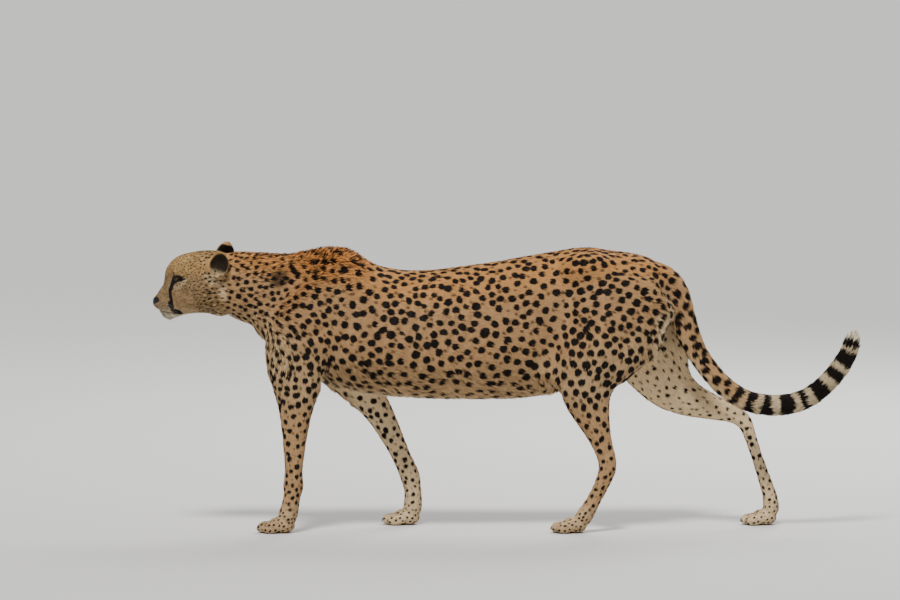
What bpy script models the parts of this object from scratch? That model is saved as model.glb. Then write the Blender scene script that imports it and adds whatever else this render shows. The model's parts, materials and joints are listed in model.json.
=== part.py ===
"""A cheetah in a stalking walk, life size: a still model, parted where its body parts are named.

Metres, +Z up. The head points to -X, the animal's left side to -Y, and it stands on z = 0.
The body is lofted whole from its sections and muscles, out to the tips of the coat,
made one surface, and then parted into named pieces with gaps of a few tenths of a millimetre.
"""
import math

import bmesh
import bpy
import numpy as np
from mathutils import Matrix, Vector

# Driving dimensions, in metres.
GAP = 0.0004            # between neighbouring pieces
COARSE_VOXEL = 0.0080   # cell of the remesh that joins the muscles
HEAD_VOXEL = 0.0035     # cell of the remesh that joins the forms of the head
VOXEL = 0.0050          # cell of the remesh that adds the head, tail and paws
SMOOTHING = 0.5         # share of the way to its neighbours that a smoothing round moves a point
FLESH_ROUNDS, HEAD_ROUNDS, BODY_ROUNDS = 10, 7, 3   # smoothing rounds after each remesh
FLESH_TRIANGLES = 4200  # of the joined body, before it is parted
FLAT_ANGLE = math.radians(3.0)   # faces that meet flatter than this are merged
RING_SIDES = 28
HEAD_TURN = math.radians(5)   # to the animal's right, about a pivot in the neck
TURN_START, TURN_FULL = -0.60, -0.70
EYE = (-0.8132, 0.0330, 0.6285)
EYE_RADIUS = 0.0150
FORELEG_Y = 0.082
HINDLEG_Y = 0.080

# Stations of the trunk and neck, from the back of the skull to the root of the tail:
# x, top, bottom, half width, level of the widest point from 0 below to 1 above.
TRUNK = [
    (-0.715, 0.690, 0.548, 0.058, 0.50),
    (-0.680, 0.699, 0.524, 0.063, 0.50),
    (-0.610, 0.696, 0.500, 0.068, 0.48),
    (-0.5425, 0.693, 0.446, 0.080, 0.45),
    (-0.475, 0.703, 0.386, 0.096, 0.45),
    (-0.4075, 0.704, 0.352, 0.108, 0.43),
    (-0.3425, 0.671, 0.338, 0.115, 0.43),
    (-0.2675, 0.653, 0.331, 0.116, 0.43),
    (-0.190, 0.653, 0.327, 0.112, 0.43),
    (-0.1125, 0.6625, 0.325, 0.105, 0.43),
    (-0.030, 0.674, 0.325, 0.097, 0.44),
    (0.0525, 0.689, 0.329, 0.087, 0.46),
    (0.1225, 0.701, 0.342, 0.082, 0.50),
    (0.195, 0.711, 0.372, 0.086, 0.52),
    (0.2525, 0.703, 0.410, 0.088, 0.52),
    (0.3125, 0.695, 0.452, 0.082, 0.52),
    (0.3600, 0.682, 0.494, 0.068, 0.52),
    (0.3950, 0.655, 0.540, 0.044, 0.52),
]

# Sections of the head square to x, from the nose back into the neck: x, the height of the
# crown, six pairs of height and half width (beside the crown, brow, eye, cheek, lip, jaw),
# and the height of the bottom of the jaw.
HEAD = [
    (-0.8885, 0.5765,  0.5755, 0.0060,  0.5735, 0.0095,  0.5705, 0.0105,  0.5670, 0.0095,  0.5640, 0.0070,  0.5620, 0.0040,  0.5615),
    (-0.8830, 0.5820,  0.5810, 0.0075,  0.5775, 0.0125,  0.5720, 0.0145,  0.5660, 0.0150,  0.5600, 0.0140,  0.5565, 0.0080,  0.5560),
    (-0.8760, 0.5905,  0.5890, 0.0075,  0.5840, 0.0130,  0.5760, 0.0170,  0.5660, 0.0205,  0.5570, 0.0200,  0.5530, 0.0110,  0.5525),
    (-0.8690, 0.6020,  0.6005, 0.0075,  0.5945, 0.0135,  0.5830, 0.0185,  0.5680, 0.0245,  0.5550, 0.0250,  0.5450, 0.0110,  0.5430),
    (-0.8600, 0.6165,  0.6150, 0.0080,  0.6080, 0.0145,  0.5930, 0.0200,  0.5720, 0.0275,  0.5540, 0.0290,  0.5350, 0.0145,  0.5320),
    (-0.8550, 0.6480,  0.6460, 0.0090,  0.6360, 0.0160,  0.6150, 0.0190,  0.5850, 0.0255,  0.5560, 0.0300,  0.5310, 0.0155,  0.5285),
    (-0.8490, 0.6600,  0.6580, 0.0120,  0.6480, 0.0235,  0.6260, 0.0225,  0.5900, 0.0280,  0.5560, 0.0320,  0.5290, 0.0165,  0.5265),
    (-0.8400, 0.6715,  0.6690, 0.0150,  0.6530, 0.0305,  0.6280, 0.0290,  0.5920, 0.0330,  0.5570, 0.0345,  0.5290, 0.0175,  0.5260),
    (-0.8280, 0.6812,  0.6780, 0.0190,  0.6560, 0.0380,  0.6290, 0.0385,  0.5960, 0.0400,  0.5590, 0.0375,  0.5330, 0.0190,  0.5300),
    (-0.8140, 0.6875,  0.6840, 0.0230,  0.6590, 0.0440,  0.6290, 0.0465,  0.5990, 0.0485,  0.5600, 0.0430,  0.5380, 0.0220,  0.5350),
    (-0.7960, 0.6925,  0.6880, 0.0270,  0.6620, 0.0475,  0.6300, 0.0520,  0.6000, 0.0565,  0.5650, 0.0510,  0.5425, 0.0300,  0.5395),
    (-0.7720, 0.6970,  0.6920, 0.0300,  0.6650, 0.0500,  0.6310, 0.0555,  0.5980, 0.0620,  0.5650, 0.0570,  0.5450, 0.0340,  0.5425),
    (-0.7450, 0.6990,  0.6930, 0.0320,  0.6660, 0.0515,  0.6300, 0.0590,  0.5950, 0.0640,  0.5620, 0.0590,  0.5440, 0.0350,  0.5410),
    (-0.7150, 0.6960,  0.6890, 0.0320,  0.6600, 0.0500,  0.6250, 0.0590,  0.5900, 0.0620,  0.5570, 0.0570,  0.5380, 0.0330,  0.5350),
    (-0.6800, 0.6800,  0.6750, 0.0280,  0.6500, 0.0450,  0.6200, 0.0520,  0.5900, 0.0540,  0.5600, 0.0480,  0.5450, 0.0280,  0.5420),
]

# Limbs: x, z, half depth along the body, half width across it, on a path down the leg.
FORELEG_LEFT = [
    (-0.445, 0.640, 0.040, 0.022),
    (-0.470, 0.585, 0.072, 0.036),
    (-0.500, 0.525, 0.090, 0.045),
    (-0.522, 0.470, 0.084, 0.047),
    (-0.527, 0.4225, 0.077, 0.044),
    (-0.525, 0.360, 0.062, 0.038),
    (-0.527, 0.297, 0.044, 0.033),
    (-0.530, 0.220, 0.032, 0.028),
    (-0.532, 0.155, 0.026, 0.025),
    (-0.533, 0.122, 0.028, 0.027),
    (-0.537, 0.085, 0.024, 0.027),
    (-0.545, 0.050, 0.026, 0.031),
    (-0.552, 0.022, 0.024, 0.030),
]
FORELEG_RIGHT = [
    (-0.430, 0.640, 0.040, 0.022),
    (-0.448, 0.585, 0.072, 0.036),
    (-0.465, 0.525, 0.090, 0.045),
    (-0.455, 0.465, 0.088, 0.047),
    (-0.425, 0.415, 0.074, 0.044),
    (-0.380, 0.362, 0.058, 0.037),
    (-0.335, 0.305, 0.043, 0.032),
    (-0.300, 0.245, 0.034, 0.028),
    (-0.266, 0.175, 0.027, 0.025),
    (-0.246, 0.128, 0.028, 0.027),
    (-0.236, 0.088, 0.024, 0.027),
    (-0.236, 0.052, 0.026, 0.031),
    (-0.240, 0.022, 0.022, 0.029),
]
HINDLEG_LEFT = [
    (0.300, 0.640, 0.070, 0.030),
    (0.292, 0.580, 0.112, 0.044),
    (0.270, 0.520, 0.130, 0.053),
    (0.240, 0.472, 0.116, 0.054),
    (0.218, 0.430, 0.102, 0.050),
    (0.200, 0.385, 0.082, 0.043),
    (0.200, 0.335, 0.063, 0.036),
    (0.214, 0.285, 0.046, 0.030),
    (0.232, 0.235, 0.032, 0.025),
    (0.246, 0.190, 0.026, 0.022),
    (0.250, 0.160, 0.026, 0.023),
    (0.236, 0.120, 0.022, 0.022),
    (0.214, 0.078, 0.021, 0.024),
    (0.192, 0.040, 0.023, 0.028),
    (0.180, 0.022, 0.020, 0.027),
]
HINDLEG_RIGHT = [
    (0.302, 0.640, 0.070, 0.030),
    (0.315, 0.580, 0.105, 0.044),
    (0.338, 0.515, 0.116, 0.053),
    (0.360, 0.455, 0.108, 0.053),
    (0.380, 0.400, 0.090, 0.048),
    (0.415, 0.348, 0.066, 0.040),
    (0.465, 0.316, 0.048, 0.033),
    (0.520, 0.297, 0.036, 0.027),
    (0.570, 0.280, 0.027, 0.023),
    (0.598, 0.262, 0.023, 0.021),
    (0.614, 0.222, 0.019, 0.020),
    (0.630, 0.175, 0.018, 0.020),
    (0.647, 0.125, 0.019, 0.021),
    (0.662, 0.080, 0.021, 0.024),
    (0.668, 0.045, 0.022, 0.027),
    (0.662, 0.022, 0.020, 0.026),
]
# The tail: x, z, half thickness, half width, and its sideways sway in y.
TAIL = [
    (0.345, 0.632, 0.048, 0.040, 0.000),
    (0.390, 0.622, 0.042, 0.036, 0.000),
    (0.420, 0.590, 0.037, 0.033, -0.001),
    (0.437, 0.540, 0.034, 0.031, -0.004),
    (0.455, 0.487, 0.031, 0.029, -0.008),
    (0.476, 0.443, 0.028, 0.027, -0.012),
    (0.510, 0.395, 0.027, 0.026, -0.016),
    (0.555, 0.350, 0.027, 0.026, -0.018),
    (0.612, 0.320, 0.028, 0.027, -0.018),
    (0.680, 0.312, 0.028, 0.028, -0.014),
    (0.748, 0.328, 0.027, 0.027, -0.008),
    (0.806, 0.372, 0.026, 0.027, -0.001),
    (0.846, 0.425, 0.026, 0.026, 0.005),
    (0.863, 0.466, 0.0235, 0.0235, 0.009),
    (0.870, 0.487, 0.0100, 0.0100, 0.010),
]

# Masses that the sections leave out: centre, radii, pitch in degrees. Each has a mirror twin
# where its centre is off the middle plane.
HEAD_MASSES = [
    ((-0.8600, 0.0150, 0.5605), (0.0185, 0.0165, 0.0160), 0),     # whisker pad
    ((-0.8475, 0.0000, 0.5415), (0.0205, 0.0160, 0.0150), 0),     # chin
    ((-0.8270, 0.0240, 0.6500), (0.0200, 0.0170, 0.0080), 20),    # brow over the eye
    ((-0.7250, 0.0460, 0.6550), (0.0300, 0.0240, 0.0300), 0),     # root of the ear
    ((-0.7450, 0.0380, 0.5880), (0.0560, 0.0300, 0.0440), 0),     # cheek ruff
]
BODY_MASSES = [
    ((-0.580, 0.034, 0.530), (0.060, 0.045, 0.060), -30),   # muscle from neck to breast
    ((-0.420, 0.038, 0.660), (0.060, 0.030, 0.040), 10),    # top of the shoulder blade
    ((-0.560, 0.000, 0.468), (0.036, 0.050, 0.050), 20),    # breast
    ((0.200, 0.050, 0.655), (0.080, 0.034, 0.045), 0),      # hip
    ((0.370, 0.045, 0.545), (0.050, 0.032, 0.050), 30),     # seat bone
    ((0.118, 0.066, 0.415), (0.042, 0.020, 0.052), 0),      # flank fold
]
LEG_MASSES = [
    ((-0.478, -FORELEG_Y, 0.362), (0.022, 0.020, 0.026), 0),    # left elbow
    ((-0.372, FORELEG_Y, 0.392), (0.026, 0.020, 0.026), 40),    # right elbow
    ((-0.514, -FORELEG_Y, 0.116), (0.013, 0.014, 0.016), 0),    # left wrist pad
    ((-0.226, FORELEG_Y, 0.122), (0.013, 0.014, 0.016), 0),     # right wrist pad
    ((0.263, -HINDLEG_Y, 0.178), (0.015, 0.015, 0.026), 10),    # left heel
    ((0.603, HINDLEG_Y, 0.272), (0.020, 0.014, 0.014), 20),     # right heel
]

# Paws: middle x of the pad, y, and the length of pad and toes as a share of a fore paw's.
PAWS = {
    "foreleg_left": (-0.566, -FORELEG_Y, 1.00),
    "foreleg_right": (-0.256, FORELEG_Y, 1.00),
    "hindleg_left": (0.164, -HINDLEG_Y, 0.94),
    "hindleg_right": (0.646, HINDLEG_Y, 0.94),
}
TOE_SPREAD = (-0.0245, -0.0088, 0.0088, 0.0245)
TOE_REACH = (0.022, 0.036, 0.036, 0.022)
TOE_RADII = (0.0210, 0.0108, 0.0145)
TOE_HEIGHT = 0.0130
CLAW_LENGTH = 0.013
CLAW_RADIUS = 0.0032
CLAW_BEND = math.radians(48)
CLAW_SIDES = 6
CLAW_ROOT = 0.0150      # from the middle of a toe forward to the root of its claw
CLAW_HEIGHT = 0.0170

COLOURS = {
    "coat": (0.60, 0.37, 0.16, 1.0),
    "ear": (0.30, 0.19, 0.10, 1.0),
    "eye": (0.35, 0.16, 0.03, 1.0),
    "claw": (0.09, 0.07, 0.06, 1.0),
}


def material(name, roughness):
    """A Principled material in one of the animal's plain colours."""
    made = bpy.data.materials.new(name)
    made.use_nodes = True
    shader = made.node_tree.nodes["Principled BSDF"]
    shader.inputs["Base Color"].default_value = COLOURS[name]
    shader.inputs["Roughness"].default_value = roughness
    shader.inputs["Metallic"].default_value = 0.0
    made.diffuse_color = COLOURS[name]
    return made


def curve_through(a, b, c, d, t):
    """The cubic from b to c that a Catmull-Rom curve through a, b, c and d takes, at shares t of the way."""
    return 0.5 * (2 * b + (c - a) * t + (2 * a - 5 * b + 4 * c - d) * t**2
                  + (3 * b - a - 3 * c + d) * t**3)


def refine(stations, per_span=4):
    """Rows between the stations, on a Catmull-Rom curve through them."""
    rows = np.array(stations, float)
    ends = np.vstack((2 * rows[0] - rows[1], rows, 2 * rows[-1] - rows[-2]))
    t = np.linspace(0, 1, per_span, endpoint=False)[:, None]
    spans = [curve_through(*four, t) for four in zip(ends, ends[1:], ends[2:], ends[3:])]
    return np.vstack(spans + [rows[-1:]])


def loft(name, rings):
    """A closed skin over a stack of rings, an array of rings x points x 3."""
    count, sides = rings.shape[:2]
    mesh = bpy.data.meshes.new(name)
    quads = [(i * sides + j, i * sides + (j + 1) % sides,
              (i + 1) * sides + (j + 1) % sides, (i + 1) * sides + j)
             for i in range(count - 1) for j in range(sides)]
    ends = [tuple(range(sides)), tuple(range((count - 1) * sides, count * sides))]
    mesh.from_pydata(rings.reshape(-1, 3).tolist(), [], quads + ends)
    cage = bmesh.new()
    cage.from_mesh(mesh)
    bmesh.ops.recalc_face_normals(cage, faces=cage.faces)
    cage.to_mesh(mesh)
    cage.free()
    made = bpy.data.objects.new(name, mesh)
    bpy.context.scene.collection.objects.link(made)
    return made


def ring_angles(sides):
    """Cosine and sine around a ring."""
    turn = np.linspace(0, 2 * np.pi, sides, endpoint=False)
    return np.cos(turn), np.sin(turn)


def body_rings(stations):
    """Upright egg-shaped sections along x: an ellipse above and another below the widest level."""
    rows = refine(stations)
    across, upward = ring_angles(RING_SIDES)
    x, top, bottom, half_width, level = rows.T[:, :, None]
    widest = bottom + level * (top - bottom)
    rise = np.where(upward > 0, top - widest, widest - bottom)
    return np.stack(np.broadcast_arrays(x, half_width * across, widest + rise * upward), axis=-1)


def head_rings(stations, per_span=3):
    """Sections square to x: a closed curve through the crown, down one side, the jaw and up the other."""
    rows = refine(stations)
    height, width = rows[:, 2:-1:2], rows[:, 3:-1:2]
    middle = np.zeros(len(rows))
    y = np.column_stack((middle, -width, middle, width[:, ::-1]))
    z = np.column_stack((rows[:, 1], height, rows[:, -1], height[:, ::-1]))
    ring = np.stack((np.broadcast_to(rows[:, :1], z.shape), y, z), -1)
    four = [np.roll(ring, shift, axis=1)[:, :, None] for shift in (1, 0, -1, -2)]
    t = np.linspace(0, 1, per_span, endpoint=False)[:, None]
    return curve_through(*four, t).reshape(len(rows), -1, 3)


def limb_rings(stations, side, sides=20):
    """Elliptical sections square to a path in an upright plane, at a distance side from the middle."""
    return tube_rings(refine(stations), side, sides)


def tube_rings(rows, side, sides):
    """As limb_rings, with the rows taken as they are; a fifth column sways the path in y."""
    x, z, depth, width = rows.T[:4]
    sway = rows[:, 4] if rows.shape[1] > 4 else np.zeros(len(rows))
    run = np.gradient(x), np.gradient(z)
    length = np.hypot(*run)
    normal_x, normal_z = -run[1] / length, run[0] / length
    along, across = ring_angles(sides)
    return np.stack((x[:, None] + np.outer(normal_x * depth, along),
                     (side + sway)[:, None] + np.outer(width, across),
                     z[:, None] + np.outer(normal_z * depth, along)), axis=-1)


def leg_offset(stations, side, low_side):
    """The stations with a sway that brings the shoulder or hip in against the body."""
    rows = np.array(stations)
    reach = np.interp(rows[:, 1], (0.36, 0.64), (low_side, side))
    return np.column_stack((rows, reach))


def ellipsoid(name, centre, radii, pitch=0.0, segments=24):
    """A sphere stretched to three radii and pitched about y."""
    bpy.ops.mesh.primitive_uv_sphere_add(segments=segments, ring_count=segments // 2, radius=1.0)
    made = bpy.context.object
    made.name = name
    place = Matrix.Translation(centre) @ Matrix.Rotation(math.radians(pitch), 4, "Y")
    made.data.transform(place @ Matrix.Diagonal((*radii, 1.0)))
    return made


def twins(name, centre, radii, pitch):
    """A mass, and its mirror image where it is off the middle plane."""
    x, y, z = centre
    sides = (y,) if y == 0 else (y, -y)
    return [ellipsoid(name, (x, side, z), radii, pitch) for side in sides]


def turn_head(points):
    """The points with the head turned about an upright axis, easing in along the neck."""
    share = np.clip((TURN_START - points[:, 0]) / (TURN_START - TURN_FULL), 0, 1)
    angle = HEAD_TURN * share * share * (3 - 2 * share)
    cosine, sine = np.cos(angle), np.sin(angle)
    x = points[:, 0] - TURN_START
    y = points[:, 1]
    turned = points.copy()
    turned[:, 0] = TURN_START + x * cosine + y * sine
    turned[:, 1] = -x * sine + y * cosine
    return turned


def move_vertices(thing, rule):
    """Sends an object's vertices through a rule on an array of points."""
    count = len(thing.data.vertices)
    flat = np.empty(count * 3)
    thing.data.vertices.foreach_get("co", flat)
    thing.data.vertices.foreach_set("co", rule(flat.reshape(count, 3)).ravel())
    thing.data.update()


def joined(things, name):
    """The things as one object of overlapping shells."""
    bpy.ops.object.select_all(action="DESELECT")
    for thing in things:
        thing.select_set(True)
    bpy.context.view_layer.objects.active = things[0]
    bpy.ops.object.join()
    things[0].name = name
    return things[0]


def baked(thing):
    """The object with its modifiers applied."""
    seen = bpy.context.evaluated_depsgraph_get()
    mesh = bpy.data.meshes.new_from_object(thing.evaluated_get(seen))
    thing.modifiers.clear()
    thing.data = mesh
    return thing


def copy_of(thing, name):
    """A separate object with its own mesh."""
    made = bpy.data.objects.new(name, thing.data.copy())
    bpy.context.scene.collection.objects.link(made)
    return made


def boolean(thing, tool, operation):
    """The thing cut, joined or kept by the tool, with the exact solver."""
    step = thing.modifiers.new(operation.lower(), "BOOLEAN")
    step.operation = operation
    step.object = tool
    step.solver = "EXACT"
    return baked(thing)


def remove(*things):
    """Deletes objects that have done their work."""
    for thing in things:
        bpy.data.objects.remove(thing)


def one_surface(thing, voxel, rounds):
    """Remeshes overlapping masses into one skin and eases its creases."""
    remesh = thing.modifiers.new("remesh", "REMESH")
    remesh.mode = "VOXEL"
    remesh.voxel_size = voxel
    ease = thing.modifiers.new("ease", "SMOOTH")
    ease.factor = SMOOTHING
    ease.iterations = rounds
    return baked(thing)


def block(low, high):
    """A box between two corners."""
    bpy.ops.mesh.primitive_cube_add(size=1.0)
    made = bpy.context.object
    size = [b - a for a, b in zip(low, high)]
    middle = [(a + b) / 2 for a, b in zip(low, high)]
    made.data.transform(Matrix.Translation(middle) @ Matrix.Diagonal((*size, 1.0)))
    return made


def half_space(point, normal, gap):
    """A large box that starts half a gap beyond a plane, on the side of its normal."""
    reach = 2.0
    made = block((-reach, -reach, gap / 2), (reach, reach, 2 * reach))
    turn = Vector((0, 0, 1)).rotation_difference(Vector(normal)).to_matrix().to_4x4()
    made.data.transform(Matrix.Translation(point) @ turn)
    return made


def part_at(thing, point, normal, near_name, far_name):
    """Two objects from one: what is behind a plane, and what is beyond it."""
    far = copy_of(thing, far_name)
    beyond = half_space(point, normal, GAP)
    behind = half_space(point, [-n for n in normal], GAP)
    boolean(far, beyond, "INTERSECT")
    boolean(thing, behind, "INTERSECT")
    remove(beyond, behind)
    thing.name = near_name
    return thing, far


def arch(walls, spring, crown, foot, foot_top, inner, side, grow):
    """A gate-shaped block outside a distance inner: a half ellipse on upright walls,
    over a foot that is wider than they are."""
    turn = np.linspace(0, math.pi, 13)
    middle, half = sum(walls) / 2, (walls[1] - walls[0]) / 2 + grow
    front, back, foot_top = foot[0] - grow, foot[1] + grow, foot_top + grow
    xs = np.concatenate(([back, back, middle + half],
                         middle + half * np.cos(turn), [middle - half, front, front]))
    zs = np.concatenate(([-0.1, foot_top, foot_top],
                         spring + (crown - spring + grow) * np.sin(turn), [foot_top, foot_top, -0.1]))
    near, far = side * (inner - grow), side * 0.30
    rings = np.stack([np.stack((xs, np.full_like(xs, y), zs), axis=-1) for y in (near, far)])
    return loft("gate", rings)


def take_out(body, region):
    """A piece of the body inside a region, and the body without it, parted by a gap."""
    piece = copy_of(body, "piece")
    inside, outside = region(-GAP / 2), region(GAP / 2)
    boolean(piece, inside, "INTERSECT")
    boolean(body, outside, "DIFFERENCE")
    remove(inside, outside)
    return piece


def paw_masses(middle_x, side, size):
    """The pad and the four toes of one paw, which points to -x."""
    pad = ellipsoid("pad", (middle_x + 0.004, side, 0.019), (0.034 * size, 0.031, 0.0215))
    toes = [ellipsoid("toe", (middle_x - reach * size, side + spread, TOE_HEIGHT), TOE_RADII, -8)
            for spread, reach in zip(TOE_SPREAD, TOE_REACH)]
    return [pad, *toes]


def claw(name, root, grow=0.0):
    """A short blunt claw that curves forward and down from the toe tip."""
    bend = np.linspace(0, CLAW_BEND, 3)
    radius = CLAW_LENGTH / CLAW_BEND
    x = root[0] - radius * np.sin(bend)
    z = root[2] - radius * (1 - np.cos(bend))
    thick = (CLAW_RADIUS + grow) * np.array((1.0, 0.85, 0.30))
    rows = np.column_stack((x, z, thick, thick * 0.8))
    return loft(name, tube_rings(rows, root[1], CLAW_SIDES))


def ear(name, centre, facing, tip, head):
    """A round cupped ear: a flattened ball, hollowed from the side that it faces."""
    forward = Vector(facing).normalized()
    upward = Vector(tip)
    upward = (upward - upward.dot(forward) * forward).normalized()
    across = forward.cross(upward)
    frame = Matrix((across, forward, upward)).transposed().to_4x4()
    place = Matrix.Translation(centre) @ frame
    shell = ellipsoid(name, (0, 0, 0), (0.0300, 0.0150, 0.0345), segments=16)
    hollow = ellipsoid("hollow", (0, 0.0115, 0.001), (0.0235, 0.0150, 0.0280), segments=12)
    for thing in (shell, hollow):
        thing.data.transform(place)
    boolean(shell, hollow, "DIFFERENCE")
    skull = copy_of(head, "skull")
    swell = skull.modifiers.new("swell", "DISPLACE")
    swell.strength = GAP
    swell.mid_level = 0.0
    baked(skull)
    boolean(shell, skull, "DIFFERENCE")
    remove(skull)
    return shell, hollow


def tidy_shell(thing):
    """Merges nearly flat neighbouring faces and keeps the biggest closed shell of a mesh."""
    cage = bmesh.new()
    cage.from_mesh(thing.data)
    bmesh.ops.dissolve_limit(cage, angle_limit=FLAT_ANGLE, verts=cage.verts, edges=cage.edges)
    bmesh.ops.triangulate(cage, faces=cage.faces)
    left = set(cage.verts)
    shells = []
    while left:
        front = [left.pop()]
        shell = set(front)
        while front:
            for edge in front.pop().link_edges:
                for vertex in edge.verts:
                    if vertex in left:
                        left.discard(vertex)
                        shell.add(vertex)
                        front.append(vertex)
        shells.append(shell)
    shells.sort(key=len, reverse=True)
    crumbs = [vertex for shell in shells[1:] for vertex in shell]
    bmesh.ops.delete(cage, geom=crumbs, context="VERTS")
    cage.to_mesh(thing.data)
    cage.free()


def build_body():
    """The whole animal as one closed surface that stands on flats at z = 0."""
    trunk = loft("trunk_form", body_rings(TRUNK))
    head_forms = [loft("head_form", head_rings(HEAD))]
    for row in HEAD_MASSES:
        head_forms += twins("mass", *row)
    head = one_surface(joined(head_forms, "head_form"), HEAD_VOXEL, HEAD_ROUNDS)
    masses = [trunk]
    for row in BODY_MASSES:
        masses += twins("mass", *row)
    masses += [ellipsoid("mass", *row) for row in LEG_MASSES]
    legs = ((FORELEG_LEFT, -1, FORELEG_Y), (FORELEG_RIGHT, 1, FORELEG_Y),
            (HINDLEG_LEFT, -1, HINDLEG_Y), (HINDLEG_RIGHT, 1, HINDLEG_Y))
    for stations, side, distance in legs:
        rows = leg_offset(stations, side * (distance - 0.014), side * distance)
        masses.append(loft("leg_form", limb_rings(rows, 0.0)))
    flesh = one_surface(joined(masses, "flesh"), COARSE_VOXEL, FLESH_ROUNDS)

    details = [flesh, head, loft("tail_form", limb_rings(TAIL, 0.0))]
    for middle_x, side, size in PAWS.values():
        details += paw_masses(middle_x, side, size)
    body = joined(details, "body")
    move_vertices(body, turn_head)
    one_surface(body, VOXEL, BODY_ROUNDS)
    thin = body.modifiers.new("thin", "DECIMATE")
    thin.ratio = FLESH_TRIANGLES / (2 * len(body.data.polygons))
    thin.use_collapse_triangulate = True
    baked(body)
    floor = half_space((0, 0, 0), (0, 0, 1), 0.0)
    boolean(body, floor, "INTERSECT")
    remove(floor)
    return body


def leg_cuts(name, leg, upper, lower, names):
    """Parts one leg across at two joints, each a point and the direction down the leg."""
    top, rest = part_at(leg, *upper, f"{name}_{names[0]}", "rest")
    middle, end = part_at(rest, *lower, f"{name}_{names[1]}", f"{name}_{names[2]}")
    return [top, middle, end]


def main():
    """Builds the animal and names its pieces."""
    for old in list(bpy.data.objects):
        bpy.data.objects.remove(old)
    coat, ear_skin = material("coat", 0.85), material("ear", 0.85)
    eye_glass, horn = material("eye", 0.10), material("claw", 0.35)
    cheetah = bpy.data.collections.new("cheetah")
    bpy.context.scene.collection.children.link(cheetah)

    body = build_body()
    pieces = []

    # The legs come off the trunk with the shoulder or the thigh.
    gates = {
        "foreleg_left": ((-0.612, -0.405), 0.47, 0.620, (-0.660, -0.395), 0.310, 0.030, -1),
        "foreleg_right": ((-0.600, -0.345), 0.47, 0.620, (-0.610, -0.140), 0.322, 0.030, 1),
        "hindleg_left": ((0.085, 0.415), 0.50, 0.635, (0.075, 0.425), 0.310, 0.022, -1),
        "hindleg_right": ((0.130, 0.430), 0.50, 0.635, (0.129, 0.720), 0.490, 0.024, 1),
    }
    legs = {name: take_out(body, lambda grow, gate=gate: arch(*gate, grow))
            for name, gate in gates.items()}
    cuts = {
        "foreleg_left": (((-0.52, -0.08, 0.345), (0, 0, -1)), ((-0.53, -0.08, 0.100), (0, 0, -1))),
        "foreleg_right": (((-0.375, 0.08, 0.350), (0.50, 0, -0.86)),
                          ((-0.240, 0.08, 0.100), (0, 0, -1))),
        "hindleg_left": (((0.200, -0.08, 0.365), (0, 0, -1)), ((0.25, -0.08, 0.200), (0, 0, -1))),
        "hindleg_right": (((0.400, 0.08, 0.355), (0.62, 0, -0.78)),
                          ((0.585, 0.08, 0.270), (0.80, 0, -0.60))),
    }
    feet = {}
    for name, leg in legs.items():
        words = ("upper", "lower", "paw") if "fore" in name else ("thigh", "shank", "foot")
        sections = leg_cuts(name, leg, *cuts[name], words)
        feet[name] = sections[2]
        pieces += sections

    trunk, tail = part_at(body, (0.400, 0, 0.610), (0.86, 0, -0.51), "trunk", "tail_1")
    for number, (point, normal) in enumerate((((0.468, 0, 0.458), (0.42, 0, -0.91)),
                                              ((0.600, 0, 0.325), (0.93, 0, -0.36)),
                                              ((0.765, 0, 0.340), (0.83, 0, 0.55))), 2):
        tail, rest = part_at(tail, point, normal, f"tail_{number - 1}", f"tail_{number}")
        pieces.append(tail)
        tail = rest
    pieces.append(tail)
    trunk, neck = part_at(trunk, (-0.580, 0, 0.590), (-0.95, 0, 0.30), "trunk", "neck")
    neck, head = part_at(neck, (-0.676, 0, 0.600), (-0.98, 0, -0.20), "neck", "head")
    pieces += [trunk, neck, head]

    for piece in pieces:
        tidy_shell(piece)

    # Ears and eyes sit in the head.
    ears = (("ear_left", (-0.7100, -0.0600, 0.6660), (-0.42, -0.90, 0.12), (0.10, -0.35, 1.0)),
            ("ear_right", (-0.7100, 0.0555, 0.6830), (-0.55, 0.80, 0.10), (0.15, 0.30, 1.0)))
    hollows = []
    for name, centre, facing, tip in ears:
        turned = turn_head(np.array([centre]))[0]
        shell, hollow = ear(name, turned, facing, tip, head)
        shell.data.materials.clear()
        shell.data.materials.append(ear_skin)
        pieces.append(shell)
        hollows.append(hollow)
    for hollow in hollows:
        boolean(head, hollow, "DIFFERENCE")
    remove(*hollows)
    for name, side in (("eye_left", -1), ("eye_right", 1)):
        centre = turn_head(np.array([(EYE[0], side * EYE[1], EYE[2])]))[0]
        ball = ellipsoid(name, centre, (EYE_RADIUS,) * 3, segments=12)
        ball.data.materials.append(eye_glass)
        socket = ellipsoid("socket", centre, (EYE_RADIUS + GAP,) * 3, segments=12)
        boolean(head, socket, "DIFFERENCE")
        remove(socket)
        pieces.append(ball)

    # Four claws to a paw, each in a socket in its toe.
    for name, (middle_x, side, size) in PAWS.items():
        for number, (spread, reach) in enumerate(zip(TOE_SPREAD, TOE_REACH), 1):
            root = (middle_x - reach * size - CLAW_ROOT, side + spread, CLAW_HEIGHT)
            horn_piece = claw(f"{name}_claw_{number}", root)
            horn_piece.data.materials.append(horn)
            socket = claw("socket", root, GAP)
            boolean(feet[name], socket, "DIFFERENCE")
            remove(socket)
            pieces.append(horn_piece)

    for piece in pieces:
        for holder in list(piece.users_collection):
            holder.objects.unlink(piece)
        cheetah.objects.link(piece)
        if len(piece.data.materials) == 0:
            piece.data.materials.append(coat)
        piece.data.shade_smooth()
        piece.data.set_sharp_from_angle(angle=math.radians(50))
        print(piece.name, len(piece.data.polygons), "faces")


main()
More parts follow.
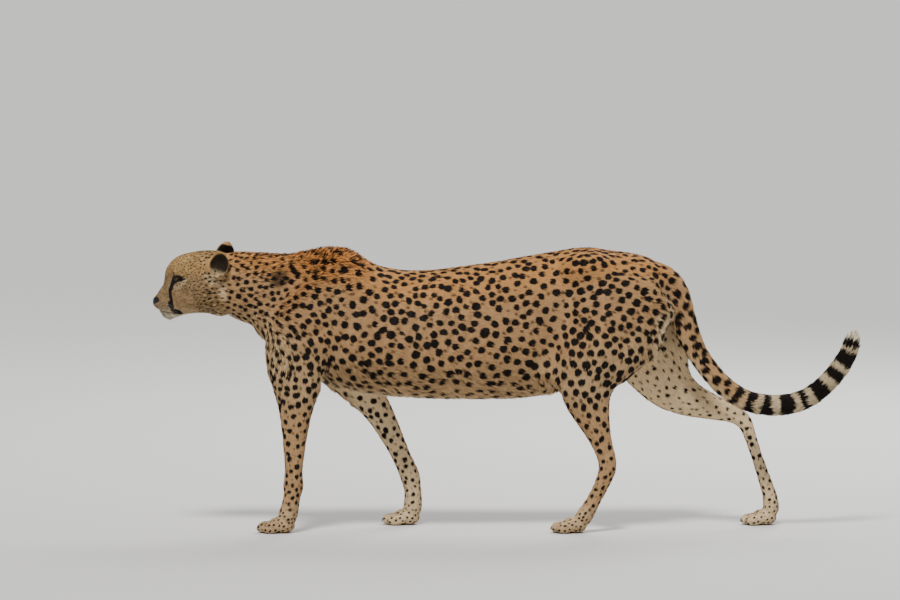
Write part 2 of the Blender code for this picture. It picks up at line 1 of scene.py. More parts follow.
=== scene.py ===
# %% [markdown]
# # A cheetah in a stalking walk
#
# A life-size still model of an adult cheetah, as a museum would show one. The packed
# solids give its pose and its outline, out to the tips of the coat. This script grows
# the animal on that outline: one skin, over half a million small tufts of fur, eyes with
# their lids, claws and whiskers. Every shape is worked out with numpy as whole arrays.
# Lengths are in metres. The head points to -X, the left side to -Y, and the floor is
# z = 0. The head is worked out looking straight ahead, where its two sides mirror each
# other, and the last step of each piece turns it a little to the animal's right.

import json
import math
import time

import bpy
import numpy as np
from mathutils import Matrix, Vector

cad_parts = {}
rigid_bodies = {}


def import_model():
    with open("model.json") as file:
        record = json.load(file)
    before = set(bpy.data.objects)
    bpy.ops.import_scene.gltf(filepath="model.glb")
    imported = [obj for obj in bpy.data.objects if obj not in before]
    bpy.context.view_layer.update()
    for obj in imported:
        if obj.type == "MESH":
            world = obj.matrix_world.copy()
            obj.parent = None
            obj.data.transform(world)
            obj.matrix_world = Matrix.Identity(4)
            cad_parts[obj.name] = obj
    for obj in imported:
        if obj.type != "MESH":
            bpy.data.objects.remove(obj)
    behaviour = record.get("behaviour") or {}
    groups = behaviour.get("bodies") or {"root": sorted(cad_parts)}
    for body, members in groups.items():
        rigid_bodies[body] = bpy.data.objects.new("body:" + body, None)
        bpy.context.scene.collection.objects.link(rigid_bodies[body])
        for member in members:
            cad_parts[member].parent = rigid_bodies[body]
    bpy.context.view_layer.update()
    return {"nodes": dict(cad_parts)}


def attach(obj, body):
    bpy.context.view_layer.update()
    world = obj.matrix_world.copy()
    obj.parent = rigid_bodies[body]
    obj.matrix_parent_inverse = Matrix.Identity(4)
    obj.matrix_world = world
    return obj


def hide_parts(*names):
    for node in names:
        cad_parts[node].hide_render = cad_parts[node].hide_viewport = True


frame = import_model()
started = time.time()

# %% [markdown]
# ## Helpers for shapes
#
# A form here is a pair of arrays: points, and the triangles that join them. Forms can be
# stacked into one, put into a Blender mesh with foreach_set, sent through modifiers and
# read back. That keeps every step a matter of whole arrays, and only the last form of
# each piece becomes an object that stays.

# %% Forms, and what carries them to and from Blender


def merge(*forms):
    """One form from several: their points stacked, and each one's triangles shifted to match."""
    starts = np.cumsum([0] + [len(points) for points, _ in forms[:-1]])
    return (np.vstack([points for points, _ in forms]),
            np.vstack([triangles + start for (_, triangles), start in zip(forms, starts)]))


def mesh_object(name, form):
    """A new object, at the origin, whose mesh holds the form's points and triangles."""
    points, triangles = form
    mesh = bpy.data.meshes.new(name)
    mesh.vertices.add(len(points))
    mesh.vertices.foreach_set("co", np.ascontiguousarray(points, np.float32).ravel())
    mesh.loops.add(triangles.size)
    mesh.loops.foreach_set("vertex_index", np.ascontiguousarray(triangles, np.int32).ravel())
    mesh.polygons.add(len(triangles))
    mesh.polygons.foreach_set("loop_start", np.arange(0, triangles.size, 3, dtype=np.int32))
    mesh.update(calc_edges=True)
    mesh.shade_smooth()
    made = bpy.data.objects.new(name, mesh)
    bpy.context.scene.collection.objects.link(made)
    return made


def read_form(mesh):
    """The points and triangles of a mesh, with each larger face cut into triangles."""
    points = np.empty(len(mesh.vertices) * 3, np.float32)
    mesh.vertices.foreach_get("co", points)
    mesh.calc_loop_triangles()
    triangles = np.empty(len(mesh.loop_triangles) * 3, np.int32)
    mesh.loop_triangles.foreach_get("vertices", triangles)
    return points.reshape(-1, 3).astype(float), triangles.reshape(-1, 3)


def through(form, *steps, soft=None):
    """The form after Blender modifiers, each given as its type and its settings.
    soft marks the points that the vertex group "soft" holds, for a step that reads it."""
    thing = mesh_object("work", form)
    if soft is not None:
        thing.vertex_groups.new(name="soft").add(np.flatnonzero(soft).tolist(), 1.0, "REPLACE")
    for kind, settings in steps:
        step = thing.modifiers.new(kind.lower(), kind)
        for name, value in settings.items():
            setattr(step, name, value)
    seen = bpy.context.evaluated_depsgraph_get()
    mesh = bpy.data.meshes.new_from_object(thing.evaluated_get(seen))
    made = read_form(mesh)
    bpy.data.objects.remove(thing)
    bpy.data.meshes.remove(mesh)
    return made


def face_normals(form):
    """The cross product of two sides of each triangle, and the middle of each triangle."""
    points, triangles = form
    a, b, c = (points[triangles[:, k]] for k in range(3))
    return np.cross(b - a, c - a), (a + b + c) / 3


def point_normals(form):
    """Unit normals at the points: the sum of the cross products of the triangles around each."""
    points, triangles = form
    faces, _ = face_normals(form)
    total = np.stack([np.bincount(triangles.ravel(), np.repeat(faces[:, k], 3), len(points))
                      for k in range(3)], axis=1)
    return total / np.maximum(np.linalg.norm(total, axis=1, keepdims=True), 1e-12)


def unit(vectors):
    """The vectors, each divided by its own length."""
    return vectors / np.maximum(np.linalg.norm(vectors, axis=-1, keepdims=True), 1e-9)


def full_turn(sides):
    """Angles once round a circle, in radians."""
    return np.linspace(0, 2 * np.pi, sides, endpoint=False)


def ease(value, start, end):
    """0 at start and 1 at end, with the level ends of 3t^2 - 2t^3 between; start may be the larger."""
    t = np.clip((value - start) / (end - start), 0, 1)
    return t * t * (3 - 2 * t)


print("shape helpers ready")

# %% [markdown]
# ## The plan of the animal
#
# The same few stations and muscles that set the solids are repeated here. The trunk is a
# row of egg-shaped sections along X. Each leg and the tail is a row of ellipses square to
# a path. What the sections leave out, such as a cheek or an elbow, is a stretched ball.

# %% Stations of the trunk, limbs and tail
HEAD_TURN = math.radians(5)
TURN_START, TURN_FULL = -0.60, -0.70
FORELEG_Y, HINDLEG_Y = 0.082, 0.080

# x, top, bottom, half width, level of the widest point from 0 below to 1 above
TRUNK = [
    (-0.715, 0.690, 0.548, 0.058, 0.50),
    (-0.680, 0.699, 0.524, 0.063, 0.50),
    (-0.610, 0.696, 0.500, 0.068, 0.48),
    (-0.5425, 0.693, 0.446, 0.080, 0.45),
    (-0.475, 0.703, 0.386, 0.096, 0.45),
    (-0.4075, 0.704, 0.352, 0.108, 0.43),
    (-0.3425, 0.671, 0.338, 0.115, 0.43),
    (-0.2675, 0.653, 0.331, 0.116, 0.43),
    (-0.190, 0.653, 0.327, 0.112, 0.43),
    (-0.1125, 0.6625, 0.325, 0.105, 0.43),
    (-0.030, 0.674, 0.325, 0.097, 0.44),
    (0.0525, 0.689, 0.329, 0.087, 0.46),
    (0.1225, 0.701, 0.342, 0.082, 0.50),
    (0.195, 0.711, 0.372, 0.086, 0.52),
    (0.2525, 0.703, 0.410, 0.088, 0.52),
    (0.3125, 0.695, 0.452, 0.082, 0.52),
    (0.3600, 0.682, 0.494, 0.068, 0.52),
    (0.3950, 0.655, 0.540, 0.044, 0.52),
]

# x, the crown's height, six pairs of height and half width (beside the crown, brow, eye,
# cheek, lip, jaw), and the height of the bottom of the jaw
HEAD = [
    (-0.8885, 0.5765, 0.5755, 0.0060, 0.5735, 0.0095, 0.5705, 0.0105,
     0.5670, 0.0095, 0.5640, 0.0070, 0.5620, 0.0040, 0.5615),
    (-0.8830, 0.5820, 0.5810, 0.0075, 0.5775, 0.0125, 0.5720, 0.0145,
     0.5660, 0.0150, 0.5600, 0.0140, 0.5565, 0.0080, 0.5560),
    (-0.8760, 0.5905, 0.5890, 0.0075, 0.5840, 0.0130, 0.5760, 0.0170,
     0.5660, 0.0205, 0.5570, 0.0200, 0.5530, 0.0110, 0.5525),
    (-0.8690, 0.6020, 0.6005, 0.0075, 0.5945, 0.0135, 0.5830, 0.0185,
     0.5680, 0.0245, 0.5550, 0.0250, 0.5450, 0.0110, 0.5430),
    (-0.8600, 0.6165, 0.6150, 0.0080, 0.6080, 0.0145, 0.5930, 0.0200,
     0.5720, 0.0275, 0.5540, 0.0290, 0.5350, 0.0145, 0.5320),
    (-0.8550, 0.6480, 0.6460, 0.0090, 0.6360, 0.0160, 0.6150, 0.0190,
     0.5850, 0.0255, 0.5560, 0.0300, 0.5310, 0.0155, 0.5285),
    (-0.8490, 0.6600, 0.6580, 0.0120, 0.6480, 0.0235, 0.6260, 0.0225,
     0.5900, 0.0280, 0.5560, 0.0320, 0.5290, 0.0165, 0.5265),
    (-0.8400, 0.6715, 0.6690, 0.0150, 0.6530, 0.0305, 0.6280, 0.0290,
     0.5920, 0.0330, 0.5570, 0.0345, 0.5290, 0.0175, 0.5260),
    (-0.8280, 0.6812, 0.6780, 0.0190, 0.6560, 0.0380, 0.6290, 0.0385,
     0.5960, 0.0400, 0.5590, 0.0375, 0.5330, 0.0190, 0.5300),
    (-0.8140, 0.6875, 0.6840, 0.0230, 0.6590, 0.0440, 0.6290, 0.0465,
     0.5990, 0.0485, 0.5600, 0.0430, 0.5380, 0.0220, 0.5350),
    (-0.7960, 0.6925, 0.6880, 0.0270, 0.6620, 0.0475, 0.6300, 0.0520,
     0.6000, 0.0565, 0.5650, 0.0510, 0.5425, 0.0300, 0.5395),
    (-0.7720, 0.6970, 0.6920, 0.0300, 0.6650, 0.0500, 0.6310, 0.0555,
     0.5980, 0.0620, 0.5650, 0.0570, 0.5450, 0.0340, 0.5425),
    (-0.7450, 0.6990, 0.6930, 0.0320, 0.6660, 0.0515, 0.6300, 0.0590,
     0.5950, 0.0640, 0.5620, 0.0590, 0.5440, 0.0350, 0.5410),
    (-0.7150, 0.6960, 0.6890, 0.0320, 0.6600, 0.0500, 0.6250, 0.0590,
     0.5900, 0.0620, 0.5570, 0.0570, 0.5380, 0.0330, 0.5350),
    (-0.6800, 0.6800, 0.6750, 0.0280, 0.6500, 0.0450, 0.6200, 0.0520,
     0.5900, 0.0540, 0.5600, 0.0480, 0.5450, 0.0280, 0.5420),
]

# x, z, half depth along the body, half width across it
FORELEG_LEFT = [
    (-0.445, 0.640, 0.040, 0.022),
    (-0.470, 0.585, 0.072, 0.036),
    (-0.500, 0.525, 0.090, 0.045),
    (-0.522, 0.470, 0.084, 0.047),
    (-0.527, 0.4225, 0.077, 0.044),
    (-0.525, 0.360, 0.062, 0.038),
    (-0.527, 0.297, 0.044, 0.033),
    (-0.530, 0.220, 0.032, 0.028),
    (-0.532, 0.155, 0.026, 0.025),
    (-0.533, 0.122, 0.028, 0.027),
    (-0.537, 0.085, 0.024, 0.027),
    (-0.545, 0.050, 0.026, 0.031),
    (-0.552, 0.022, 0.024, 0.030),
]
FORELEG_RIGHT = [
    (-0.430, 0.640, 0.040, 0.022),
    (-0.448, 0.585, 0.072, 0.036),
    (-0.465, 0.525, 0.090, 0.045),
    (-0.455, 0.465, 0.088, 0.047),
    (-0.425, 0.415, 0.074, 0.044),
    (-0.380, 0.362, 0.058, 0.037),
    (-0.335, 0.305, 0.043, 0.032),
    (-0.300, 0.245, 0.034, 0.028),
    (-0.266, 0.175, 0.027, 0.025),
    (-0.246, 0.128, 0.028, 0.027),
    (-0.236, 0.088, 0.024, 0.027),
    (-0.236, 0.052, 0.026, 0.031),
    (-0.240, 0.022, 0.022, 0.029),
]
HINDLEG_LEFT = [
    (0.300, 0.640, 0.070, 0.030),
    (0.292, 0.580, 0.112, 0.044),
    (0.270, 0.520, 0.130, 0.053),
    (0.240, 0.472, 0.116, 0.054),
    (0.218, 0.430, 0.102, 0.050),
    (0.200, 0.385, 0.082, 0.043),
    (0.200, 0.335, 0.063, 0.036),
    (0.214, 0.285, 0.046, 0.030),
    (0.232, 0.235, 0.032, 0.025),
    (0.246, 0.190, 0.026, 0.022),
    (0.250, 0.160, 0.026, 0.023),
    (0.236, 0.120, 0.022, 0.022),
    (0.214, 0.078, 0.021, 0.024),
    (0.192, 0.040, 0.023, 0.028),
    (0.180, 0.022, 0.020, 0.027),
]
HINDLEG_RIGHT = [
    (0.302, 0.640, 0.070, 0.030),
    (0.315, 0.580, 0.105, 0.044),
    (0.338, 0.515, 0.116, 0.053),
    (0.360, 0.455, 0.108, 0.053),
    (0.380, 0.400, 0.090, 0.048),
    (0.415, 0.348, 0.066, 0.040),
    (0.465, 0.316, 0.048, 0.033),
    (0.520, 0.297, 0.036, 0.027),
    (0.570, 0.280, 0.027, 0.023),
    (0.598, 0.262, 0.023, 0.021),
    (0.614, 0.222, 0.019, 0.020),
    (0.630, 0.175, 0.018, 0.020),
    (0.647, 0.125, 0.019, 0.021),
    (0.662, 0.080, 0.021, 0.024),
    (0.668, 0.045, 0.022, 0.027),
    (0.662, 0.022, 0.020, 0.026),
]
# x, z, half thickness, half width, sideways sway
TAIL = [
    (0.345, 0.632, 0.048, 0.040, 0.000),
    (0.390, 0.622, 0.042, 0.036, 0.000),
    (0.420, 0.590, 0.037, 0.033, -0.001),
    (0.437, 0.540, 0.034, 0.031, -0.004),
    (0.455, 0.487, 0.031, 0.029, -0.008),
    (0.476, 0.443, 0.028, 0.027, -0.012),
    (0.510, 0.395, 0.027, 0.026, -0.016),
    (0.555, 0.350, 0.027, 0.026, -0.018),
    (0.612, 0.320, 0.028, 0.027, -0.018),
    (0.680, 0.312, 0.028, 0.028, -0.014),
    (0.748, 0.328, 0.027, 0.027, -0.008),
    (0.806, 0.372, 0.026, 0.027, -0.001),
    (0.846, 0.425, 0.026, 0.026, 0.005),
    (0.863, 0.466, 0.0235, 0.0235, 0.009),
    (0.870, 0.487, 0.0100, 0.0100, 0.010),
]
print("stations:", sum(map(len, (TRUNK, HEAD, FORELEG_LEFT, FORELEG_RIGHT, HINDLEG_LEFT,
                                 HINDLEG_RIGHT, TAIL))))

# %% Masses and paws
# centre, radii, pitch in degrees; each has a mirror twin where it is off the middle plane
HEAD_MASSES = [
    ((-0.8600, 0.0150, 0.5605), (0.0185, 0.0165, 0.0160), 0),     # whisker pad
    ((-0.8475, 0.0000, 0.5415), (0.0205, 0.0160, 0.0150), 0),     # chin
    ((-0.8270, 0.0240, 0.6500), (0.0200, 0.0170, 0.0080), 20),    # brow over the eye
    ((-0.7250, 0.0460, 0.6550), (0.0300, 0.0240, 0.0300), 0),     # root of the ear
    ((-0.7450, 0.0380, 0.5880), (0.0560, 0.0300, 0.0440), 0),     # cheek ruff
]
BODY_MASSES = [
    ((-0.580, 0.034, 0.530), (0.060, 0.045, 0.060), -30),   # muscle from neck to breast
    ((-0.420, 0.038, 0.660), (0.060, 0.030, 0.040), 10),    # top of the shoulder blade
    ((-0.560, 0.000, 0.468), (0.036, 0.050, 0.050), 20),    # breast
    ((0.200, 0.050, 0.655), (0.080, 0.034, 0.045), 0),      # hip
    ((0.370, 0.045, 0.545), (0.050, 0.032, 0.050), 30),     # seat bone
    ((0.118, 0.066, 0.415), (0.042, 0.020, 0.052), 0),      # flank fold
]
LEG_MASSES = [
    ((-0.478, -FORELEG_Y, 0.362), (0.022, 0.020, 0.026), 0),    # left elbow
    ((-0.372, FORELEG_Y, 0.392), (0.026, 0.020, 0.026), 40),    # right elbow
    ((-0.514, -FORELEG_Y, 0.116), (0.013, 0.014, 0.016), 0),    # left wrist pad
    ((-0.226, FORELEG_Y, 0.122), (0.013, 0.014, 0.016), 0),     # right wrist pad
    ((0.263, -HINDLEG_Y, 0.178), (0.015, 0.015, 0.026), 10),    # left heel
    ((0.603, HINDLEG_Y, 0.272), (0.020, 0.014, 0.014), 20),     # right heel
]
# middle x of the pad, y, and the length of pad and toes as a share of a fore paw's
PAWS = {
    "foreleg_left": (-0.566, -FORELEG_Y, 1.00),
    "foreleg_right": (-0.256, FORELEG_Y, 1.00),
    "hindleg_left": (0.164, -HINDLEG_Y, 0.94),
    "hindleg_right": (0.646, HINDLEG_Y, 0.94),
}
TOE_SPREAD = (-0.0245, -0.0088, 0.0088, 0.0245)
TOE_REACH = (0.022, 0.036, 0.036, 0.022)
TOE_RADII = (0.0210, 0.0102, 0.0145)
TOE_HEIGHT = 0.0130
CLAW_LENGTH, CLAW_RADIUS, CLAW_BEND = 0.013, 0.0030, math.radians(48)
CLAW_ROOT, CLAW_HEIGHT = 0.0150, 0.0170
# name, centre, the way the cup faces, the way its tip points
EARS = (("ear_left", (-0.7100, -0.0600, 0.6660), (-0.42, -0.90, 0.12), (0.10, -0.35, 1.0)),
        ("ear_right", (-0.7100, 0.0555, 0.6830), (-0.55, 0.80, 0.10), (0.15, 0.30, 1.0)))
print("masses:", len(HEAD_MASSES) + len(BODY_MASSES) + len(LEG_MASSES), "paws:", len(PAWS))

# %% [markdown]
# ## Rings, tubes and balls
#
# A limb is a profile carried along a path. Catmull-Rom curves run through the stations,
# each section is an ellipse, and a tube of triangles joins one ring to the next. A ball
# is the same tube over circles of latitude.

# %% Turning stations into tubes


def curve_through(a, b, c, d, t):
    """The cubic from b to c of a Catmull-Rom curve through a, b, c and d, at shares t of the way."""
    return 0.5 * (2 * b + (c - a) * t + (2 * a - 5 * b + 4 * c - d) * t**2
                  + (3 * b - a - 3 * c + d) * t**3)


def refine(stations, per_span=4):
    """Rows between the stations, on a Catmull-Rom curve through them."""
    rows = np.array(stations, float)
    ends = np.vstack((2 * rows[0] - rows[1], rows, 2 * rows[-1] - rows[-2]))
    t = np.linspace(0, 1, per_span, endpoint=False)[:, None]
    spans = [curve_through(*four, t) for four in zip(ends, ends[1:], ends[2:], ends[3:])]
    return np.vstack(spans + [rows[-1:]])


def walls(steps, count, sides):
    """Two triangles for each side of each step between rings; after the last ring comes the first."""
    i, j = (grid.ravel() for grid in np.meshgrid(np.arange(steps), np.arange(sides), indexing="ij"))
    a, b = i * sides + j, i * sides + (j + 1) % sides
    onward = ((i + 1) % count - i) * sides
    return np.vstack((np.stack((a, b, b + onward), 1), np.stack((a, b + onward, a + onward), 1)))


def tube(rings):
    """Triangles over an array of rings x points x 3, closed by a fan to the middle of each end ring."""
    count, sides = rings.shape[:2]
    points = np.vstack((rings.reshape(-1, 3), rings[0].mean(0), rings[-1].mean(0)))
    round_ring = np.arange(sides)
    after, last = (round_ring + 1) % sides, (count - 1) * sides
    first_fan = np.stack((after, round_ring, np.full(sides, count * sides)), 1)
    last_fan = np.stack((last + round_ring, last + after, np.full(sides, count * sides + 1)), 1)
    return points, np.vstack((walls(count - 1, count, sides), first_fan, last_fan))


def trunk_rings(stations, sides=48):
    """Upright egg shapes along x: half an ellipse above the widest level and half of another below."""
    turn = full_turn(sides)
    x, top, bottom, half_width, level = refine(stations).T[:, :, None]
    widest = bottom + level * (top - bottom)
    rise = np.where(np.sin(turn) > 0, top - widest, widest - bottom)
    return np.stack(np.broadcast_arrays(x, half_width * np.cos(turn), widest + rise * np.sin(turn)), -1)


def head_rings(stations, per_span=3):
    """Sections square to x: a closed curve from the crown down one side to the jaw and up the other."""
    rows = refine(stations)
    height, width = rows[:, 2:-1:2], rows[:, 3:-1:2]
    middle = np.zeros(len(rows))
    y = np.column_stack((middle, -width, middle, width[:, ::-1]))
    z = np.column_stack((rows[:, 1], height, rows[:, -1], height[:, ::-1]))
    ring = np.stack((np.broadcast_to(rows[:, :1], z.shape), y, z), -1)
    four = [np.roll(ring, shift, axis=1)[:, :, None] for shift in (1, 0, -1, -2)]
    t = np.linspace(0, 1, per_span, endpoint=False)[:, None]
    return curve_through(*four, t).reshape(len(rows), -1, 3)


def limb_rings(rows, side=0.0, sides=28):
    """Ellipses square to a path in an upright plane. A fifth column of the rows sways the path in y."""
    x, z, depth, width = rows.T[:4]
    sway = rows[:, 4] if rows.shape[1] > 4 else np.zeros(len(rows))
    run = np.gradient(x), np.gradient(z)
    length = np.hypot(*run)
    turn = full_turn(sides)
    along, across = np.cos(turn), np.sin(turn)
    return np.stack((x[:, None] + np.outer(-run[1] / length * depth, along),
                     (side + sway)[:, None] + np.outer(width, across),
                     z[:, None] + np.outer(run[0] / length * depth, along)), -1)


def leg_rows(stations, side, inward=0.014):
    """The refined stations of a leg, with a sway that brings its top nearer the middle plane."""
    rows = refine(stations)
    reach = np.interp(rows[:, 1], (0.36, 0.64), (side, math.copysign(abs(side) - inward, side)))
    return np.column_stack((rows, reach))


def ball(centre, radii, pitch=0.0, sides=24):
    """A sphere's circles of latitude, stretched to three radii and pitched about y."""
    height = np.linspace(-math.pi / 2, math.pi / 2, sides // 2 + 1)[1:-1, None]
    turn = full_turn(sides)
    x, y, z = (np.broadcast_arrays(np.cos(height) * np.cos(turn), np.cos(height) * np.sin(turn),
                                   np.sin(height)))
    x, y, z = x * radii[0], y * radii[1], z * radii[2]
    lean = math.radians(pitch)
    return np.stack((centre[0] + x * math.cos(lean) + z * math.sin(lean), centre[1] + y,
                     centre[2] - x * math.sin(lean) + z * math.cos(lean)), -1)


def twins(masses):
    """Tubes for the masses, and for their mirror images where they are off the middle plane."""
    made = []
    for (x, y, z), radii, pitch in masses:
        for side in ((y,) if y == 0 else (y, -y)):
            made.append(tube(ball((x, side, z), radii, pitch)))
    return made


legs = {
    "foreleg_left": leg_rows(FORELEG_LEFT, -FORELEG_Y),
    "foreleg_right": leg_rows(FORELEG_RIGHT, FORELEG_Y),
    "hindleg_left": leg_rows(HINDLEG_LEFT, -HINDLEG_Y),
    "hindleg_right": leg_rows(HINDLEG_RIGHT, HINDLEG_Y),
}
tail_rows = refine(TAIL)
print("leg rings:", {name: len(rows) for name, rows in legs.items()}, "tail rings:", len(tail_rows))

# %% [markdown]
# ## Ears
#
# A cheetah's ear is a small round cup. Its wall is one profile, up the outside, over the
# rim and down the inside, swept round the way that the cup faces. Each ear has its own
# way of facing, because the near one is laid a little to the side.

# %% The cups of the ears
EAR_WIDE, EAR_HIGH = 0.0290, 0.0330
EAR_BACK, EAR_FLOOR = -0.0125, -0.0060
EAR_MOUTH = 0.80
# the rim's radius, as a share of the ear's, and its height, from the outside to the inside
EAR_LIP = [[1.0, 0.0072], [0.95, 0.0094], [0.88, 0.0084], [0.82, 0.0060]]


def unturned(vectors):
    """Directions as they were before the head turned: rotated back about the upright axis."""
    x, y, z = np.moveaxis(np.asarray(vectors, float), -1, 0)
    cosine, sine = math.cos(HEAD_TURN), math.sin(HEAD_TURN)
    return np.stack((x * cosine - y * sine, x * sine + y * cosine, z), -1)


def ear_axes(facing, tip):
    """Three unit vectors of an ear: across its cup, out of its mouth, and up to its tip."""
    forward = unit(unturned(facing))
    upward = unit(unturned(tip) - np.dot(unturned(tip), forward) * forward)
    return np.cross(forward, upward), forward, upward


def ear_rings(centre, axes, sides=40):
    """Rings of the cup: a profile of radius and height from the back pole, over the rim, to the floor."""
    across, forward, upward = axes
    climb = np.linspace(0.12, 1.0, 14) * math.pi / 2
    outside = np.stack((np.sin(climb), EAR_BACK * np.cos(climb) + 0.004), 1)
    inside = np.stack((EAR_MOUTH * np.cos(climb * 0.99), EAR_FLOOR * np.sin(climb) + 0.003), 1)
    radius, height = np.vstack((outside, EAR_LIP, inside)).T
    turn = full_turn(sides)
    return (np.array(centre)
            + np.outer(radius, np.cos(turn))[..., None] * EAR_WIDE * across
            + np.outer(radius, np.sin(turn))[..., None] * EAR_HIGH * upward
            + height[:, None, None] * forward)


ears = {name: (np.array(centre), ear_axes(facing, tip)) for name, centre, facing, tip in EARS}
print("ears:", {name: [round(v, 2) for v in axes[1]] for name, (_, axes) in ears.items()})

# %% [markdown]
# ## One skin from many forms
#
# A voxel remesh turns overlapping forms into one closed skin, as a sculptor lays clay
# over an armature and then runs the lumps together. The muscles are joined on a coarse
# grid and eased. The head is joined on a fine one, because its forms are small. Head, tail,
# paws and ears then go into the last remesh with the body, so that no seam is left.

# %% Join the forms
EASE = 0.5
FLESH_GRID, HEAD_GRID, BODY_GRID = 0.0080, 0.0030, 0.0026


def remeshed(form, voxel, rounds, *more):
    """The form as one surface on a grid of that size, eased by rounds of smoothing."""
    return through(form, ("REMESH", {"mode": "VOXEL", "voxel_size": voxel}),
                   ("SMOOTH", {"factor": EASE, "iterations": rounds}), *more)


def paw_forms(middle_x, side, size):
    """The pad, the heel of the hand and four toes of one paw, which points to -x."""
    pad = tube(ball((middle_x + 0.004, side, 0.019), (0.034 * size, 0.031, 0.0215)))
    toes = [tube(ball((middle_x - reach * size, side + spread, TOE_HEIGHT), TOE_RADII, -8))
            for spread, reach in zip(TOE_SPREAD, TOE_REACH)]
    return [pad, *toes]


flesh = merge(tube(trunk_rings(TRUNK)), *twins(BODY_MASSES),
              *(tube(ball(*mass)) for mass in LEG_MASSES),
              *(tube(limb_rings(rows)) for rows in legs.values()))
flesh = remeshed(flesh, FLESH_GRID, 10, ("SUBSURF", {"levels": 1, "render_levels": 1}))
head = merge(tube(head_rings(HEAD)), *twins(HEAD_MASSES))
head = remeshed(head, HEAD_GRID, 6)
paws = [form for place in PAWS.values() for form in paw_forms(*place)]
cups = [tube(ear_rings(centre, axes)) for centre, axes in ears.values()]
body = remeshed(merge(flesh, head, tube(limb_rings(tail_rows)), *paws, *cups), BODY_GRID, 5)
print("body:", len(body[0]), "points", f"{time.time() - started:.0f} s")

# %% [markdown]
# ## Where each point of the body is
#
# Fur, colour and modelling all depend on the place: how far along the tail, how near the
# eye, which leg. Each path is sampled, and every point finds its nearest sample on it.
# That gives its distance from the path, how far along it is, and which way the path runs.

# %% Distances to the paths


def nearest_on(path, points):
    """For each point its distance to a path, the length along it to there, and the path's direction."""
    steps = np.linalg.norm(np.diff(path, axis=0), axis=1)
    along = np.concatenate(([0], np.cumsum(steps)))
    fine = np.linspace(0, along[-1], max(8, int(along[-1] / 0.006)))
    samples = np.stack([np.interp(fine, along, path[:, k]) for k in range(3)], 1)
    square = (points**2).sum(1)[:, None] - 2 * points @ samples.T + (samples**2).sum(1)
    nearest = square.argmin(1)
    direction = unit(np.gradient(samples, axis=0))
    square = np.maximum(square[np.arange(len(points)), nearest], 0)
    return np.sqrt(square), fine[nearest], direction[nearest]


def path_of(rows):
    """The middle line of a limb: its x, its sway and its z."""
    return np.column_stack((rows[:, 0], rows[:, 4], rows[:, 1]))


TAIL_PATH = path_of(tail_rows)
TAIL_LENGTH = np.linalg.norm(np.diff(TAIL_PATH, axis=0), axis=1).sum()


def on_tail(points):
    """1 on the tail and 0 off it, with the length along it, and its direction."""
    distance, along, direction = nearest_on(TAIL_PATH, points)
    free = ease(points[:, 0], 0.385, 0.425) * ease(distance, 0.052, 0.040)
    return free, along, direction


def on_ears(points, normals):
    """1 on the wall of an ear and 0 off it, 1 inside the cup, 1 on its back, and the height, 0 to 1.
    A normal that leans to the cup's mouth or to its axis is inside, one that leans away is behind."""
    share, inner, behind, height = (np.zeros(len(points)) for _ in range(4))
    for centre, (across, forward, upward) in ears.values():
        local = points - centre
        a, b, c = local @ across / EAR_WIDE, local @ upward / EAR_HIGH, local @ forward
        reach = np.hypot(a, b)
        here = (reach < 1.25) & (np.abs(c - 0.002) < 0.020) & (b > -0.95)
        outward = (normals @ across * a + normals @ upward * b) / np.maximum(reach, 0.05)
        lean = normals @ forward - outward
        share = np.maximum(share, np.where(here, ease(b, -0.95, -0.45), 0))
        inner = np.maximum(inner, here * ease(lean, 0.0, 0.6) * ease(reach, 0.90, 0.78))
        behind = np.maximum(behind, here * ease(lean, -0.1, -0.6) * ease(reach, 1.02, 0.88))
        height = np.maximum(height, np.where(here, np.clip((b + 1) / 2, 0, 1), 0))
    return share, inner, behind, height


print(f"tail: {TAIL_LENGTH:.3f} m along its curve")

# %% [markdown]
# ## Fewer triangles where the form is plain
#
# The fine grid is needed on the head and the paws. On the broad flanks it would spend the
# whole budget, so Blender's Decimate thins the rest, guided by a vertex group. Left alone
# it would clear the flattest parts first, and leave triangles larger than a spot. A shift
# of each point by a third of a millimetre at random makes every part equally rough, so it
# thins evenly; the rounds of averaging further on take the shift out again.

# %% Thin the body, keep the head, ears and paws
HEAD_EDGE, PAW_TOP = -0.700, 0.036
BODY_SHARE = 0.140
ROUGH = 0.00030

spare = (body[0][:, 0] > HEAD_EDGE) & (body[0][:, 2] > PAW_TOP)
in_spare = spare[body[1]].all(1).mean()
shift = ROUGH * spare[:, None] * np.random.default_rng(5).normal(0, 1, body[0].shape)
body = through((body[0] + shift, body[1]), ("DECIMATE", {
    "ratio": 1 - in_spare * (1 - BODY_SHARE), "vertex_group": "soft"}), soft=spare)
print("body:", len(body[1]), "triangles", f"{time.time() - started:.0f} s")

# %% [markdown]
# ## A finer face
#
# Lids, lips and nostrils are a millimetre or two across, so the face is split once more.
# Each chosen triangle becomes four, by the middles of its edges, and its neighbours are
# cut to match. A few rounds of averaging then round off the new points.

# %% Split and relax


def edges_of(triangles, count):
    """The distinct edges of the triangles, and for each triangle the numbers of its three edges."""
    pairs = np.sort(np.stack((triangles, np.roll(triangles, -1, 1)), -1), -1)
    keys = pairs[..., 0].astype(np.int64) * count + pairs[..., 1]
    keys, number = np.unique(keys, return_inverse=True)
    return np.stack((keys // count, keys % count), 1), number.reshape(triangles.shape)


